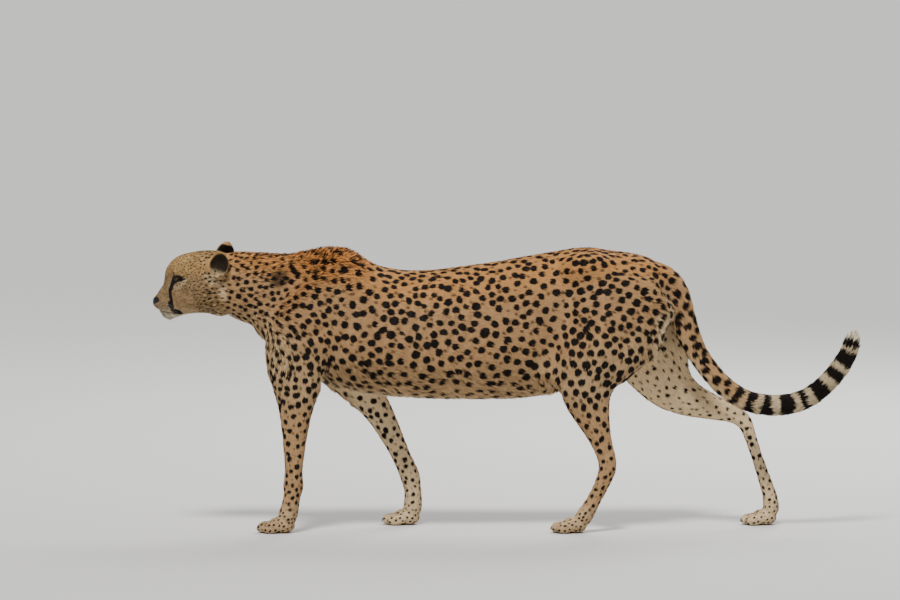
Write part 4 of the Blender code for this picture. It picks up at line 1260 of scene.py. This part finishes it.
BACK, FLANK, LOW_FLANK = linear(208, 150, 88), linear(190, 148, 102), linear(188, 152, 108)
BELLY, CREAM, WHITE = linear(214, 190, 150), linear(238, 210, 166), linear(238, 228, 206)
# CHEEK is darker than FOREHEAD partly by its own colour and partly by painted shade of the lower face.
MANE, FOREHEAD, CHEEK = linear(198, 130, 68), linear(184, 147, 95), linear(153, 124, 86)
EAR_CUP, EAR_RIM, TAIL_GREY = linear(52, 42, 31), linear(206, 166, 110), linear(204, 184, 148)
SMUDGE = linear(66, 47, 31)
# MUZZLE is partly its own grey brown and partly painted shade of the face.
MUZZLE, CHIN = linear(142, 115, 80), linear(200, 190, 164)


def speckle(points, size):
    """A random number from 0 to 1 for each cell of a lattice: the fraction of |43758.5 sin(cell . k)|."""
    cell = np.floor(points / size) @ np.array((127.1, 311.7, 74.7))
    return np.modf(np.abs(np.sin(cell) * 43758.5453))[0]


def ground(points, normals, at):
    """The colour of the hair between the markings: region colours, each laid over the last by its share.
    The head and the mane are grizzled: their colour is scaled by random cells of three sizes."""
    x, y, z = points.T
    station = np.array(TRUNK)
    top, bottom = (np.interp(x, station[:, 0], station[:, k]) for k in (1, 2))
    rise = np.clip((z - bottom) / (top - bottom), 0, 1)
    inward = ease(-np.sign(y) * normals[:, 1], 0.15, 0.75)
    outward = ease(np.maximum(np.sign(y) * normals[:, 1], -normals[:, 0]), 0.25, 0.60)
    colour = np.broadcast_to(FLANK, points.shape).copy()
    low_leg = ease(z, 0.36, 0.28) * (1 - at["tail"])
    rear_edge = ease(x, 0.350, 0.385) * ease(z, 0.565, 0.530) * (y < 0)
    lip = np.interp(x, *np.array(sorted(MOUTH)).T)
    smudge = ease(np.hypot((x + 0.5740) / 0.0260, (z - 0.6340) / 0.0250), 1.2, 0.5)
    ruff_tuft = ease(np.hypot((x + 0.7030) / 0.0240, (z - 0.6000) / 0.0260), 1.15, 0.65)
    ear_tuft = ease(np.hypot((x + 0.7320) / 0.0260, (z - 0.6330) / 0.0190), 1.15, 0.60)
    for share, wanted in (
            (ease(rise, 0.62, 0.92), BACK), (ease(rise, 0.38, 0.16), LOW_FLANK),
            (ease(rise, 0.16, 0.03) * (1 - 0.85 * outward), BELLY),
            (at["crest"] * 0.5, MANE), (at["withers"], MANE),
            (at["breast"] * 0.10, CREAM), (low_leg, FLANK), (low_leg * 0.5, LOW_FLANK),
            (np.maximum(low_leg * 0.75, ease(z, 0.50, 0.42)) * inward, CREAM),
            (at["seat"] * np.maximum(ease(np.abs(y), 0.085, 0.045), rear_edge) * 0.8, CREAM),
            (at["paw"] * 0.4, CREAM),
            # the lower head and the muzzle take colours that are partly painted shade of the face
            (at["head"], FOREHEAD), (at["head"] * ease(z, 0.655, 0.620), CHEEK),
            (at["face"] * ease(x, -0.826, -0.848) * ease(z, 0.668, 0.618), MUZZLE),
            (at["head"] * ease(z, 0.566, 0.545) * 0.30, CREAM),
            (at["ruff"] * ruff_tuft * 0.65, CREAM),
            (at["head"] * (1 - at["ear"]) * ear_tuft * 0.55, CREAM),
            (at["face"] * ease(x, -0.806, -0.826) * ease(z - lip, 0.001, -0.003) * 0.9, CHIN),
            (smudge * 0.85, SMUDGE), (at["tail"], FLANK),
            (at["tail"] * ease(normals[:, 2], 0.1, -0.7) * 0.8, CREAM),
            (at["tail"] * ease(at["along"], TAIL_LENGTH - 0.42, TAIL_LENGTH - 0.30), TAIL_GREY),
            (at["tip"] * ease(at["along"], TAIL_LENGTH - 0.05, TAIL_LENGTH - 0.02), WHITE),
            (at["ear"], EAR_RIM), (at["ear"] * at["inner"], EAR_CUP),
            (at["inner"] * ease(at["ear_height"], 0.34, 0.12) * 0.40, CREAM)):
        colour += share[:, None] * (wanted - colour)
    for side in (-1, 1):
        centre, _, _, up = eye_axes(side)
        away = points - centre
        reach = np.linalg.norm(away, axis=1)
        below = ease(away @ up, -0.004, -0.009) * ease(reach, 0.030, 0.019) * (x < -0.78)
        colour += (0.45 * below)[:, None] * (CREAM - colour)
    grizzled = np.maximum(at["head"], 0.5 * at["crest"]) * (1 - at["ear"])
    grain = (0.35 * speckle(points - 0.0013, 0.0058) + 0.35 * speckle(points, 0.0034)
             + 0.3 * speckle(points + 0.0011, 0.0017) - 0.5)
    return colour * (1 + (0.18 + 1.20 * grizzled) * grain)[:, None]


tone = ground(skin[0], normals, at)
print("ground colour from", tone.min(0).round(2), "to", tone.max(0).round(2))

# %% [markdown]
# ## The skin's mesh and its unwrap
#
# The skin's arrays become a mesh, and Blender's Smart UV Project unwraps its own shape.
# Each tuft later sits on that unwrap as a small patch at the place of its root, so that a
# baked picture of the coat keeps every tuft's colour apart.

# %% Make the skin
SEAM_ANGLE, ISLAND_GAP = math.radians(66), 0.001


def turn_head(points):
    """The points rotated about an upright axis at TURN_START by an angle that grows along the neck."""
    share = ease(points[:, 0], TURN_START, TURN_FULL)
    cosine, sine = np.cos(HEAD_TURN * share), np.sin(HEAD_TURN * share)
    x, y = points[:, 0] - TURN_START, points[:, 1]
    return np.stack((TURN_START + x * cosine + y * sine, -x * sine + y * cosine, points[:, 2]), 1)


def turned_object(name, form):
    """A new object of the form after the head has turned."""
    return mesh_object(name, (turn_head(form[0]), form[1]))


def keep(mesh, name, values):
    """Stores one number, or one colour, for each point of a mesh as a named attribute."""
    kind, field = ("FLOAT_COLOR", "color") if values.ndim == 2 else ("FLOAT", "value")
    if values.ndim == 2:
        values = np.column_stack((values, np.ones(len(values))))
    store = mesh.attributes.new(name, kind, "POINT")
    store.data.foreach_set(field, values.astype(np.float32).ravel())


skin_thing = turned_object("skin", skin)
for name, values in (("ink", ink), ("faint", faint), ("tone", tone), ("bare", bare)):
    keep(skin_thing.data, name, values)
bpy.context.view_layer.objects.active = skin_thing
skin_thing.select_set(True)
bpy.ops.object.mode_set(mode="EDIT")
bpy.ops.mesh.select_all(action="SELECT")
bpy.ops.uv.smart_project(angle_limit=SEAM_ANGLE, island_margin=ISLAND_GAP)
bpy.ops.object.mode_set(mode="OBJECT")
skin_uv = np.empty(len(skin_thing.data.loops) * 2, np.float32)
skin_thing.data.uv_layers[0].data.foreach_get("uv", skin_uv)
skin_uv = skin_uv.reshape(-1, 3, 2)
flesh_nodes = [name for name in frame["nodes"] if "claw" not in name and "eye" not in name]
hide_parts(*flesh_nodes)
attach(skin_thing, "root")
print("skin stands for", len(flesh_nodes), "nodes, unwrapped,", f"{time.time() - started:.0f} s")

# %% [markdown]
# ## Tufts
#
# A tuft of short hair is drawn as a kite: a root, two shoulders and a tip, so two
# triangles. Long hair is a blade of four triangles that rises and then bends back to the
# body. Half a million of them are worked out at once. Each one's length and ground colour
# come from the place of its root, and its marking from the places that its visible part
# covers.

# %% Shapes of the tufts
# how far along each point is, how far to the side, and the triangles between the points
KITE = (np.array((0.0, 0.42, 0.42, 1.0)), np.array((0.0, -0.5, 0.5, 0.0)),
        np.array(((0, 2, 1), (1, 2, 3))))
BLADE = (np.array((0.0, 0.28, 0.28, 0.64, 0.64, 1.0)), np.array((0.0, -0.5, 0.5, -0.4, 0.4, 0.0)),
         np.array(((0, 2, 1), (1, 2, 3), (3, 2, 4), (3, 4, 5))))
SUNK, SAG = 0.0006, 0.45
ABOVE_FLOOR = 0.0002
PATCH = 0.003


def grow(place, lie, normal, length, width, rise, roll, pattern):
    """Tufts as one form. A point at t is at root + length (t cos(rise) lie + t (1 - sag t) sin(rise)
    normal), and to the side by its share of the width; the side itself is rolled about the lie."""
    along, across, corners = pattern
    t = along[None, :, None]
    side = np.cross(lie, normal)
    side = np.cos(roll)[:, None] * side + np.sin(roll)[:, None] * normal
    cosine, sine = np.cos(rise)[:, None, None], np.sin(rise)[:, None, None]
    reach = t * cosine * lie[:, None] + t * (1 - SAG * t) * sine * normal[:, None]
    points = (place[:, None] - SUNK * (1 - t) * normal[:, None] + length[:, None, None] * reach
              + width[:, None, None] * across[None, :, None] * side[:, None])
    points[..., 2] = np.maximum(points[..., 2], ABOVE_FLOOR)
    count = len(along)
    triangles = corners[None] + count * np.arange(len(place))[:, None, None]
    return points.reshape(-1, 3), triangles.reshape(-1, 3)


def tuft_piece(name, chosen, pattern):
    """An object of the chosen tufts, with their colours, places along them and the map for baking."""
    along, across, corners = pattern
    count, size = len(along), len(chosen["place"])
    form = grow(*(chosen[key] for key in ("place", "lie", "normal", "length", "width", "rise", "roll")),
                pattern)
    thing = turned_object(name, form)
    for key in ("ink", "faint", "tone", "shade"):
        keep(thing.data, key, np.repeat(chosen[key], count, axis=0))
    keep(thing.data, "strand", np.tile(along, size))
    spot_uv = np.stack((across * 0.9, along - 0.5), 1) * PATCH
    uv = chosen["uv"][:, None] + spot_uv[corners.ravel()][None]
    layer = thing.data.uv_layers.new(name="OFBake")
    layer.data.foreach_set("uv", np.clip(uv, 0.0, 1.0).astype(np.float32).ravel())
    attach(thing, "root")
    return thing


GRIZZLE = 0.7


def plan_tufts(count, weight, seed, wide, raise_by, spread, shown_at, lengthen=1.0):
    """Everything about so many tufts: roots drawn by the weight, then their lie, size, lift and colours.
    A tuft is as dark as the darkest marking under its shown_at shares of the way along. On the head
    each tuft is also lighter or darker by up to a third, at random."""
    dice = np.random.default_rng(seed)
    picked, share, place, normal = rooted(skin, weight, count, dice)
    here = regions(place, normal)
    way = lie_of(place, normal, here)
    way = unit(way + (spread(here) * dice.normal(0, 1, count))[:, None] * np.cross(normal, way))
    length = fur_length(here) * lengthen * dice.uniform(0.75, 1.2, count)
    dark, freckle = np.full(count, FAR), np.full(count, FAR)
    for share_along in shown_at:
        shown = place + share_along * length[:, None] * way
        inks = markings(shown, regions(shown, normal))
        dark, freckle = np.maximum(dark, inks[0]), np.maximum(freckle, inks[1])
    rise, roll = raise_by(here) * dice.uniform(0.5, 1.5, count), dice.normal(0, 0.35, count)
    shade = dice.random(count)
    grizzle = 1 + GRIZZLE * here["head"] * (dice.random(count) - 0.5)
    return dict(place=place, lie=way, normal=normal, length=length, width=wide(length), rise=rise,
                roll=roll, ink=dark, faint=freckle, shade=shade, uv=blend_uv(picked, share),
                tone=ground(place, normal, here) * grizzle[:, None])


def blend_uv(picked, share):
    """Places on the skin's unwrap of the roots."""
    return np.einsum("nk,nkc->nc", share, skin_uv[picked])


def portion(chosen, start, step):
    """Every so manyth tuft, so that each piece spans the whole animal."""
    return {key: values[start::step] for key, values in chosen.items()}


print("tuft shapes:", len(KITE[2]), "and", len(BLADE[2]), "triangles")

# %% Grow the short coat
COAT_PIECES, COAT_EACH = 5, 97000
BODY_RISE = 0.15
REGION_RISE = {"face": 0.13, "crest": 0.34, "withers": 0.50, "belly": 0.40, "seat": 0.24, "ruff": 0.30,
               "breast": 0.30, "tail": 0.32, "tip": 0.42, "paw": 0.16, "ear": 0.20}


def short_width(length):
    """Width of a short tuft: a little for every length, so that small ones stay visible."""
    return 0.0005 + 0.105 * length


def short_rise(here):
    """How steeply short hair leaves the skin, in radians."""
    return by_region(here, BODY_RISE, REGION_RISE)


def short_spread(here):
    """How much neighbouring tufts differ in direction."""
    return 0.10 + 0.25 * here["withers"] + 0.12 * np.maximum(here["belly"], here["seat"])


length = fur_length(at)
density = (1 - bare) / (length * short_width(length))
short = plan_tufts(COAT_PIECES * COAT_EACH, density, 21, short_width, short_rise, short_spread,
                   (0.4, 0.75))
coat = [tuft_piece(f"coat_{k + 1}", portion(short, k, COAT_PIECES), KITE) for k in range(COAT_PIECES)]
print("short coat:", sum(len(thing.data.polygons) for thing in coat), "triangles",
      f"{time.time() - started:.0f} s")

# %% Grow the long locks
LOCK_PIECES, LOCK_EACH = 2, 48500


def lock_width(length):
    """Width of a lock, in proportion to its length."""
    return 0.0006 + 0.075 * length


def lock_rise(here):
    """How steeply long hair leaves the skin."""
    return 0.30 + 0.30 * here["withers"] + 0.12 * here["crest"] + 0.10 * here["belly"]


def lock_spread(here):
    """Long hair is tousled at the withers and combed elsewhere."""
    return 0.14 + 0.35 * here["withers"]


long_hair = (1.0 * at["withers"] + 0.7 * at["crest"] + 0.8 * at["belly"] + 0.3 * at["seat"]
             + 0.7 * at["ruff"] + 0.5 * at["breast"] + 0.55 * at["tail"] + 1.2 * at["tip"]
             + 0.25 * at["ear"])
density = (1 - bare) * (long_hair + 0.02) / (length * lock_width(length))
long_locks = plan_tufts(LOCK_PIECES * LOCK_EACH, density, 22, lock_width, lock_rise, lock_spread,
                        (0.65,), 1.25)
locks = [tuft_piece(f"locks_{k + 1}", portion(long_locks, k, LOCK_PIECES), BLADE)
         for k in range(LOCK_PIECES)]
print("locks:", sum(len(thing.data.polygons) for thing in locks), "triangles",
      f"{time.time() - started:.0f} s")

# %% [markdown]
# ## Eyes
#
# A cheetah's eye is amber with a round pupil and a thin dark edge to the iris, and its
# rims are black. The eyeball is a sphere with the clear bulge of the cornea in front. Each
# rim is a thin roll that follows the opening of the lids. The colours are drawn later from
# the angle between a point and the gaze, which the mesh carries as an attribute.

# %% Eyeballs and the rims of the lids
CORNEA_ANGLE, CORNEA_BULGE = 0.60, 0.0013


def closed_tube(rings):
    """Triangles over rings that go round in both directions, like a ring doughnut."""
    count, sides = rings.shape[:2]
    return rings.reshape(-1, 3), walls(count, count, sides)


def eyeball(side):
    """Circles round the gaze from the pupil back, at R plus a bulge times (1 - (angle / 0.6)^2)^1.5."""
    centre, back, gaze, up = eye_axes(side)
    angle = np.linspace(0.02, math.pi - 0.02, 60)
    turn = full_turn(64)
    radius = EYE_RADIUS - 0.0002 + CORNEA_BULGE * np.clip(1 - (angle / CORNEA_ANGLE)**2, 0, 1)**1.5
    outward = np.cos(turn)[:, None] * back + np.sin(turn)[:, None] * up * -side
    away = np.cos(angle)[:, None, None] * gaze + np.sin(angle)[:, None, None] * outward
    return tube(centre + radius[:, None, None] * away)


def lid_rim(side, sides=10, steps=90):
    """A roll along the opening's edge, where angle times hypot(cos / long, sin / high) is one."""
    centre, back, gaze, up = eye_axes(side)
    turn = full_turn(steps)
    high = np.where(np.sin(turn) > 0, OPEN_HIGH, OPEN_LOW)
    angle = 1 / np.hypot(np.cos(turn) / OPEN_LONG, np.sin(turn) / high)
    outward = np.cos(turn)[:, None] * back + np.sin(turn)[:, None] * up
    middle = np.cos(angle)[:, None] * gaze + np.sin(angle)[:, None] * outward
    run = unit(np.roll(middle, -1, 0) - np.roll(middle, 1, 0))
    across = np.cross(run, middle)
    thick = 0.0007 + 0.0004 * np.clip(np.sin(turn), 0, 1)
    around = full_turn(sides)[None, :, None]
    roll = np.cos(around) * middle[:, None] + np.sin(around) * across[:, None]
    return closed_tube(centre + middle[:, None] * (EYE_RADIUS + 0.0005) + thick[:, None, None] * roll)


def outward_faces(form, centre):
    """The form with its triangles turned over if they face the centre on the whole."""
    points, triangles = form
    faces, middles = face_normals(form)
    facing = (faces * (middles - centre)).sum()
    return points, triangles if facing > 0 else triangles[:, ::-1]


eyes = []
for name, side in (("left", -1), ("right", 1)):
    centre, back, gaze, up = eye_axes(side)
    form = outward_faces(eyeball(side), centre)
    thing = turned_object(f"eyeball_{name}", form)
    away = unit(form[0] - centre)
    keep(thing.data, "angle", np.arccos(np.clip(away @ gaze, -1, 1)))
    across, upward = unit(np.stack((away @ back, away @ up), 1)).T
    keep(thing.data, "across", across)
    keep(thing.data, "upward", upward)
    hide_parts(f"eye_{name}")
    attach(thing, "root")
    eyes.append(thing)
rims = merge(*(lid_rim(side) for side in (-1, 1)))
rims_thing = turned_object("lid_rims", rims)
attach(rims_thing, "root")
print("eyes:", [len(thing.data.polygons) for thing in eyes], "rims:", len(rims[1]), "triangles")

# %% [markdown]
# ## Claws and whiskers
#
# A cheetah's claws are blunt and never quite drawn in, so they show even as it walks. Each
# is a cone bent along an arc. Whiskers are long tapered hairs that start in the rows of
# dark dots on the pads of the lip, sweep outwards, and sag back.

# %% Claws
CLAW_STEPS = 12


def claw_form(root):
    """Rings along an arc that starts nearly level and bends down, with radius R (1 - t^1.7)."""
    t = np.linspace(0, 0.985, CLAW_STEPS)
    lean = -0.20 - 1.25 * CLAW_BEND * t
    step = 1.15 * CLAW_LENGTH * np.gradient(t)
    x = root[0] + 0.004 - np.cumsum(step * np.cos(lean))
    z = root[2] + np.cumsum(step * np.sin(lean))
    radius = CLAW_RADIUS * (1 - t**1.7)
    return tube(limb_rings(np.column_stack((x, z, radius, 0.72 * radius)), root[1], 16))


claws = []
for name, (middle_x, side, size) in PAWS.items():
    roots = [(middle_x - reach * size - CLAW_ROOT, side + spread, CLAW_HEIGHT)
             for spread, reach in zip(TOE_SPREAD, TOE_REACH)]
    form = merge(*(outward_faces(claw_form(root), np.array(root) - (0.004, 0, 0)) for root in roots))
    thing = mesh_object(f"{name}_claws", form)
    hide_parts(*(f"{name}_claw_{number}" for number in (1, 2, 3, 4)))
    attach(thing, "root")
    claws.append(thing)
print("claws:", sum(len(thing.data.polygons) for thing in claws), "triangles")

# %% Whiskers
WHISKER_LENGTH, WHISKER_RADIUS = 0.062, 0.00022


def whisker_forms(side, dice):
    """Tapered tubes from the roots on one side, each along root + L (t out + 0.28 t^2 back)."""
    made = []
    t = np.linspace(0, 1, 14)[:, None]
    for u, v in whisker_roots():
        here = (side * skin[0][:, 1] > 0.010) & (skin[0][:, 0] < -0.835)
        nearest = np.hypot(skin[0][here, 0] - u, skin[0][here, 2] - v).argmin()
        root = skin[0][here][nearest]
        out = unit(np.array((0.15 + 12 * (u + 0.872), side, -0.15 - 22 * (0.564 - v)))
                   + dice.normal(0, 0.10, 3))
        length = WHISKER_LENGTH * dice.uniform(0.6, 1.1) * (0.55 + 30 * min(u + 0.875, 0.015))
        path = root + length * (t * out + 0.28 * t**2 * np.array((1.0, -0.2 * side, -0.45)))
        radius = WHISKER_RADIUS * (1 - 0.85 * t)
        run = unit(np.gradient(path, axis=0))
        across = unit(np.cross(run, (0.3, 0.1, 1.0)))
        over = np.cross(across, run)
        turn = full_turn(5)[None, :, None]
        made.append(tube(path[:, None] + radius[:, None] * (np.cos(turn) * across[:, None]
                                                            + np.sin(turn) * over[:, None])))
    return made


dice = np.random.default_rng(31)
whiskers = merge(*whisker_forms(-1, dice), *whisker_forms(1, dice))
whiskers_thing = turned_object("whiskers", whiskers)
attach(whiskers_thing, "root")
print("whiskers:", len(whiskers[1]), "triangles")

# %% [markdown]
# ## Materials
#
# A shader is a chain of nodes. Here a small class wraps a socket, so that a sum or a
# product written in Python adds the Math node that does it. The finishes are few: hair on
# the tufts, the skin under it with a nap of fine bump, horn, wet black rims, the eye and
# the whiskers.

# %% Sockets as expressions


class Wire:
    """An output socket that carries a number; arithmetic on it adds Math nodes."""

    def __init__(self, sheet, socket):
        self.sheet = sheet
        self.socket = socket

    def __add__(self, other):
        return self.sheet.math("ADD", self, other)

    __radd__ = __add__

    def __sub__(self, other):
        return self.sheet.math("SUBTRACT", self, other)

    def __rsub__(self, other):
        return self.sheet.math("SUBTRACT", other, self)

    def __mul__(self, other):
        return self.sheet.math("MULTIPLY", self, other)

    __rmul__ = __mul__

    def between(self, low, high):
        """0 where the number is low, 1 where it is high, and eased between; low may be the larger."""
        return self.sheet.node("ShaderNodeMapRange", {"interpolation_type": "SMOOTHSTEP"},
                               {"Value": self, "From Min": low, "From Max": high})


class Sheet:
    """One material and its nodes."""

    def __init__(self, name, **constants):
        self.material = bpy.data.materials.new(name)
        self.material.use_nodes = True
        self.tree = self.material.node_tree
        self.shader = self.tree.nodes["Principled BSDF"]
        for socket, value in constants.items():
            self.shader.inputs[socket.replace("_", " ")].default_value = value

    def feed(self, socket, value):
        """Links a wire to an input socket, or sets the socket to a plain value."""
        if isinstance(value, Wire):
            self.tree.links.new(value.socket, socket)
        else:
            socket.default_value = value

    def node(self, kind, settings, sockets, output=0):
        """Adds a node of any type: its settings first, then its sockets by name or number."""
        made = self.tree.nodes.new(kind)
        for name, value in settings.items():
            setattr(made, name, value)
        for name, value in sockets.items():
            self.feed(made.inputs[name], value)
        return Wire(self, made.outputs[output])

    def math(self, operation, *values):
        """A Math node on wires or numbers."""
        return self.node("ShaderNodeMath", {"operation": operation}, dict(enumerate(values)))

    def attribute(self, name, output="Fac"):
        """A value that the mesh carries at its points."""
        return self.node("ShaderNodeAttribute", {"attribute_name": name}, {}, output)

    def mix(self, share, first, second):
        """A colour between two, by a share from 0 to 1."""
        return self.node("ShaderNodeMix", {"data_type": "RGBA"}, {0: share, 6: first, 7: second}, 2)

    def scaled(self, colour, factor):
        """A colour made brighter or darker by a number."""
        return self.node("ShaderNodeVectorMath", {"operation": "SCALE"}, {0: colour, "Scale": factor})

    def place(self, scale=(1.0, 1.0, 1.0)):
        """Object coordinates in metres, stretched by a scale."""
        where = self.node("ShaderNodeTexCoord", {}, {}, "Object")
        return self.node("ShaderNodeMapping", {}, {"Vector": where, "Scale": scale})

    def noise(self, where, scale, detail=2.0):
        """Noise from 0 to 1 whose patches are about one part in scale of a metre."""
        return self.node("ShaderNodeTexNoise", {}, {"Vector": where, "Scale": scale, "Detail": detail})

    def bump(self, height, distance, strength):
        """A normal tilted by a height in parts of the distance."""
        return self.node("ShaderNodeBump", {},
                         {"Height": height, "Distance": distance, "Strength": strength})

    def finish(self, **wires):
        """Feeds the shader's sockets and gives the material."""
        for name, wire in wires.items():
            self.feed(self.shader.inputs[name.replace("_", " ")], wire)
        return self.material


print("material helpers ready")

# %% The coat's colours
DARK, FAINT = (0.0070, 0.0038, 0.0026, 1.0), (0.060, 0.027, 0.012, 1.0)


def coat_colour(sheet, brightness):
    """Ground colour, then freckles, then dark markings, whose edges are broken by fine noise."""
    where = sheet.place()
    ragged = sheet.noise(where, 420.0) - 0.5
    patchy = sheet.noise(where, 9.0)
    ground_colour = sheet.scaled(sheet.attribute("tone", "Color"), brightness * (0.90 + 0.20 * patchy))
    freckled = (sheet.attribute("faint") + 1.8 * ragged).between(-1.0, 1.6) * 0.80
    dark = (sheet.attribute("ink") + 2.2 * ragged).between(-0.9, 1.1)
    return sheet.mix(dark, sheet.mix(freckled, ground_colour, FAINT), DARK)


def hair_material():
    """Hair: darker at its roots, paler at its tips, and each tuft a little different."""
    sheet = Sheet("hair", Roughness=0.72, Specular_IOR_Level=0.14)
    strand, shade = sheet.attribute("strand"), sheet.attribute("shade")
    colour = coat_colour(sheet, (0.66 + 0.42 * strand) * (0.82 + 0.32 * shade))
    return sheet.finish(Base_Color=colour)


def skin_material():
    """The hide under the tufts: the same markings, a nap of fine hair as bump, and bare black leather."""
    sheet = Sheet("skin", Specular_IOR_Level=0.25)
    bare = sheet.attribute("bare")
    colour = coat_colour(sheet, 0.72)
    colour = sheet.mix(bare, colour, (0.007, 0.006, 0.006, 1.0))
    level = sheet.noise(sheet.place((110.0, 900.0, 700.0)), 1.0)
    upright = sheet.noise(sheet.place((900.0, 900.0, 110.0)), 1.0)
    nap = level + sheet.attribute("steep") * (upright - level)
    pores = sheet.node("ShaderNodeTexVoronoi", {}, {"Vector": sheet.place(), "Scale": 1300.0}, "Distance")
    height = nap + bare * (pores - nap)
    return sheet.finish(Base_Color=colour, Roughness=0.72 - 0.36 * bare,
                        Normal=sheet.bump(height, 0.0007, 0.55))


def eye_material():
    """Pupil, dark amber iris with fine spokes, its edge, and the near black ball beyond, all wet. The
    iris's darkness is partly its own colour and partly painted shade of the brow.
    """
    sheet = Sheet("eye", Roughness=0.30, Specular_IOR_Level=0.2, Coat_Weight=0.35, Coat_Roughness=0.03)
    angle = sheet.attribute("angle")
    spoke_place = sheet.node("ShaderNodeCombineXYZ", {}, {
        "X": 9.0 * sheet.attribute("across"), "Y": 9.0 * sheet.attribute("upward"), "Z": 3.0 * angle})
    spokes = sheet.noise(spoke_place, 1.0, 4.0)
    # The iris colours are partly a cheetah's amber and partly painted shade of the brow over the eye.
    iris = sheet.mix(angle.between(0.20, 0.46), (0.12, 0.050, 0.012, 1.0), (0.055, 0.021, 0.006, 1.0))
    iris = sheet.scaled(iris, 0.45 + 1.1 * spokes)
    iris = sheet.mix(angle.between(0.45, 0.54), iris, (0.010, 0.006, 0.004, 1.0))
    colour = sheet.mix(angle.between(0.255, 0.230), iris, (0.001, 0.001, 0.001, 1.0))
    return sheet.finish(Base_Color=colour)


def rim_material():
    """The wet black edge of the lids."""
    sheet = Sheet("rim", Specular_IOR_Level=0.2)
    grain = sheet.noise(sheet.place(), 900.0)
    colour = sheet.mix(grain, (0.004, 0.003, 0.003, 1.0), (0.014, 0.010, 0.008, 1.0))
    return sheet.finish(Base_Color=colour, Roughness=0.45 + 0.25 * grain)


def horn_material():
    """Claws: dark horn with lengthwise streaks."""
    sheet = Sheet("horn", Specular_IOR_Level=0.5)
    streak = sheet.noise(sheet.place((120.0, 1500.0, 1500.0)), 1.0)
    colour = sheet.mix(streak, (0.020, 0.015, 0.012, 1.0), (0.13, 0.10, 0.075, 1.0))
    return sheet.finish(Base_Color=colour, Roughness=0.30 + 0.2 * streak,
                        Normal=sheet.bump(streak, 0.0002, 0.4))


def whisker_material():
    """Stiff pale hair, darker in patches."""
    sheet = Sheet("whisker", Roughness=0.35, Specular_IOR_Level=0.5)
    patch = sheet.noise(sheet.place(), 300.0)
    return sheet.finish(Base_Color=sheet.mix(patch, (0.52, 0.48, 0.40, 1.0), (0.38, 0.32, 0.24, 1.0)))


keep(skin_thing.data, "steep", np.abs(lie[:, 2]))
finishes = [(skin_material(), [skin_thing]), (hair_material(), coat + locks), (eye_material(), eyes),
            (rim_material(), [rims_thing]), (horn_material(), claws),
            (whisker_material(), [whiskers_thing])]
for finish, things in finishes:
    for thing in things:
        thing.data.materials.append(finish)
print("materials:", [finish.name for finish, _ in finishes])

# %% [markdown]
# ## Studio
#
# A pale floor, a broad soft sun from above the camera and a little to its left, a pale sky
# as the fill, and a soft light from above and behind that draws the line of the back. The
# lens is long and the camera low, so that the animal is seen square from its left side.

# %% Floor, lights and camera
CAMERA_DISTANCE, CAMERA_RISE = 14.0, math.radians(5)
VIEW_WIDTH, VIEW_CENTRE = 2.25, (-0.1425, 0.0, 0.575)
SENSOR = 36.0
SUN_POWER, SUN_SPREAD, SUN_FROM = 3.5, math.radians(14), (-0.15, -0.50, 1.0)
SKY_COLOUR, SKY_POWER = (0.84, 0.86, 0.88, 1.0), 0.48
REAR_PLACE, REAR_AIM, REAR_SIZE, REAR_POWER = (1.4, 2.8, 3.2), (0, 0, 0.6), 2.4, 160


def plain_material(name, colour, roughness):
    """A Principled material in one colour."""
    made = bpy.data.materials.new(name)
    made.use_nodes = True
    shader = made.node_tree.nodes["Principled BSDF"]
    shader.inputs["Base Color"].default_value = (*colour, 1.0)
    shader.inputs["Roughness"].default_value = roughness
    return made


def soft_light(name, place, aim, size, power):
    """A square area light at a place, turned to face a point."""
    data = bpy.data.lights.new(name, "AREA")
    data.size, data.energy = size, power
    lamp = bpy.data.objects.new(name, data)
    lamp.location = place
    lamp.rotation_euler = (-(Vector(aim) - Vector(place))).to_track_quat("Z", "Y").to_euler()
    bpy.context.scene.collection.objects.link(lamp)


bpy.ops.mesh.primitive_circle_add(vertices=96, radius=80.0, fill_type="NGON")
floor = bpy.context.object
floor.name = "floor"
floor.data.materials.append(plain_material("floor_paint", (0.62, 0.61, 0.59), 0.9))

key = bpy.data.lights.new("key", "SUN")
key.energy, key.angle = SUN_POWER, SUN_SPREAD
key_lamp = bpy.data.objects.new("key", key)
key_lamp.rotation_euler = Vector(SUN_FROM).to_track_quat("Z", "Y").to_euler()
bpy.context.scene.collection.objects.link(key_lamp)
soft_light("back", REAR_PLACE, REAR_AIM, REAR_SIZE, REAR_POWER)
world = bpy.data.worlds.new("studio")
world.use_nodes = True
sky = world.node_tree.nodes["Background"].inputs
sky["Color"].default_value, sky["Strength"].default_value = SKY_COLOUR, SKY_POWER
bpy.context.scene.world = world

camera_data = bpy.data.cameras.new("camera")
camera_data.sensor_width = SENSOR
camera_data.lens = SENSOR * CAMERA_DISTANCE / VIEW_WIDTH
camera_data.clip_end = 200.0
camera = bpy.data.objects.new("camera", camera_data)
back_off = Vector((0.0, -math.cos(CAMERA_RISE), math.sin(CAMERA_RISE)))
camera.location = Vector(VIEW_CENTRE) + back_off * CAMERA_DISTANCE
camera.rotation_euler = back_off.to_track_quat("Z", "Y").to_euler()
bpy.context.scene.collection.objects.link(camera)
bpy.context.scene.camera = camera
print(f"lens {camera_data.lens:.0f} mm at {CAMERA_DISTANCE} m")

# %% Hand over
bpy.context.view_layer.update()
print(f"done in {time.time() - started:.0f} s")
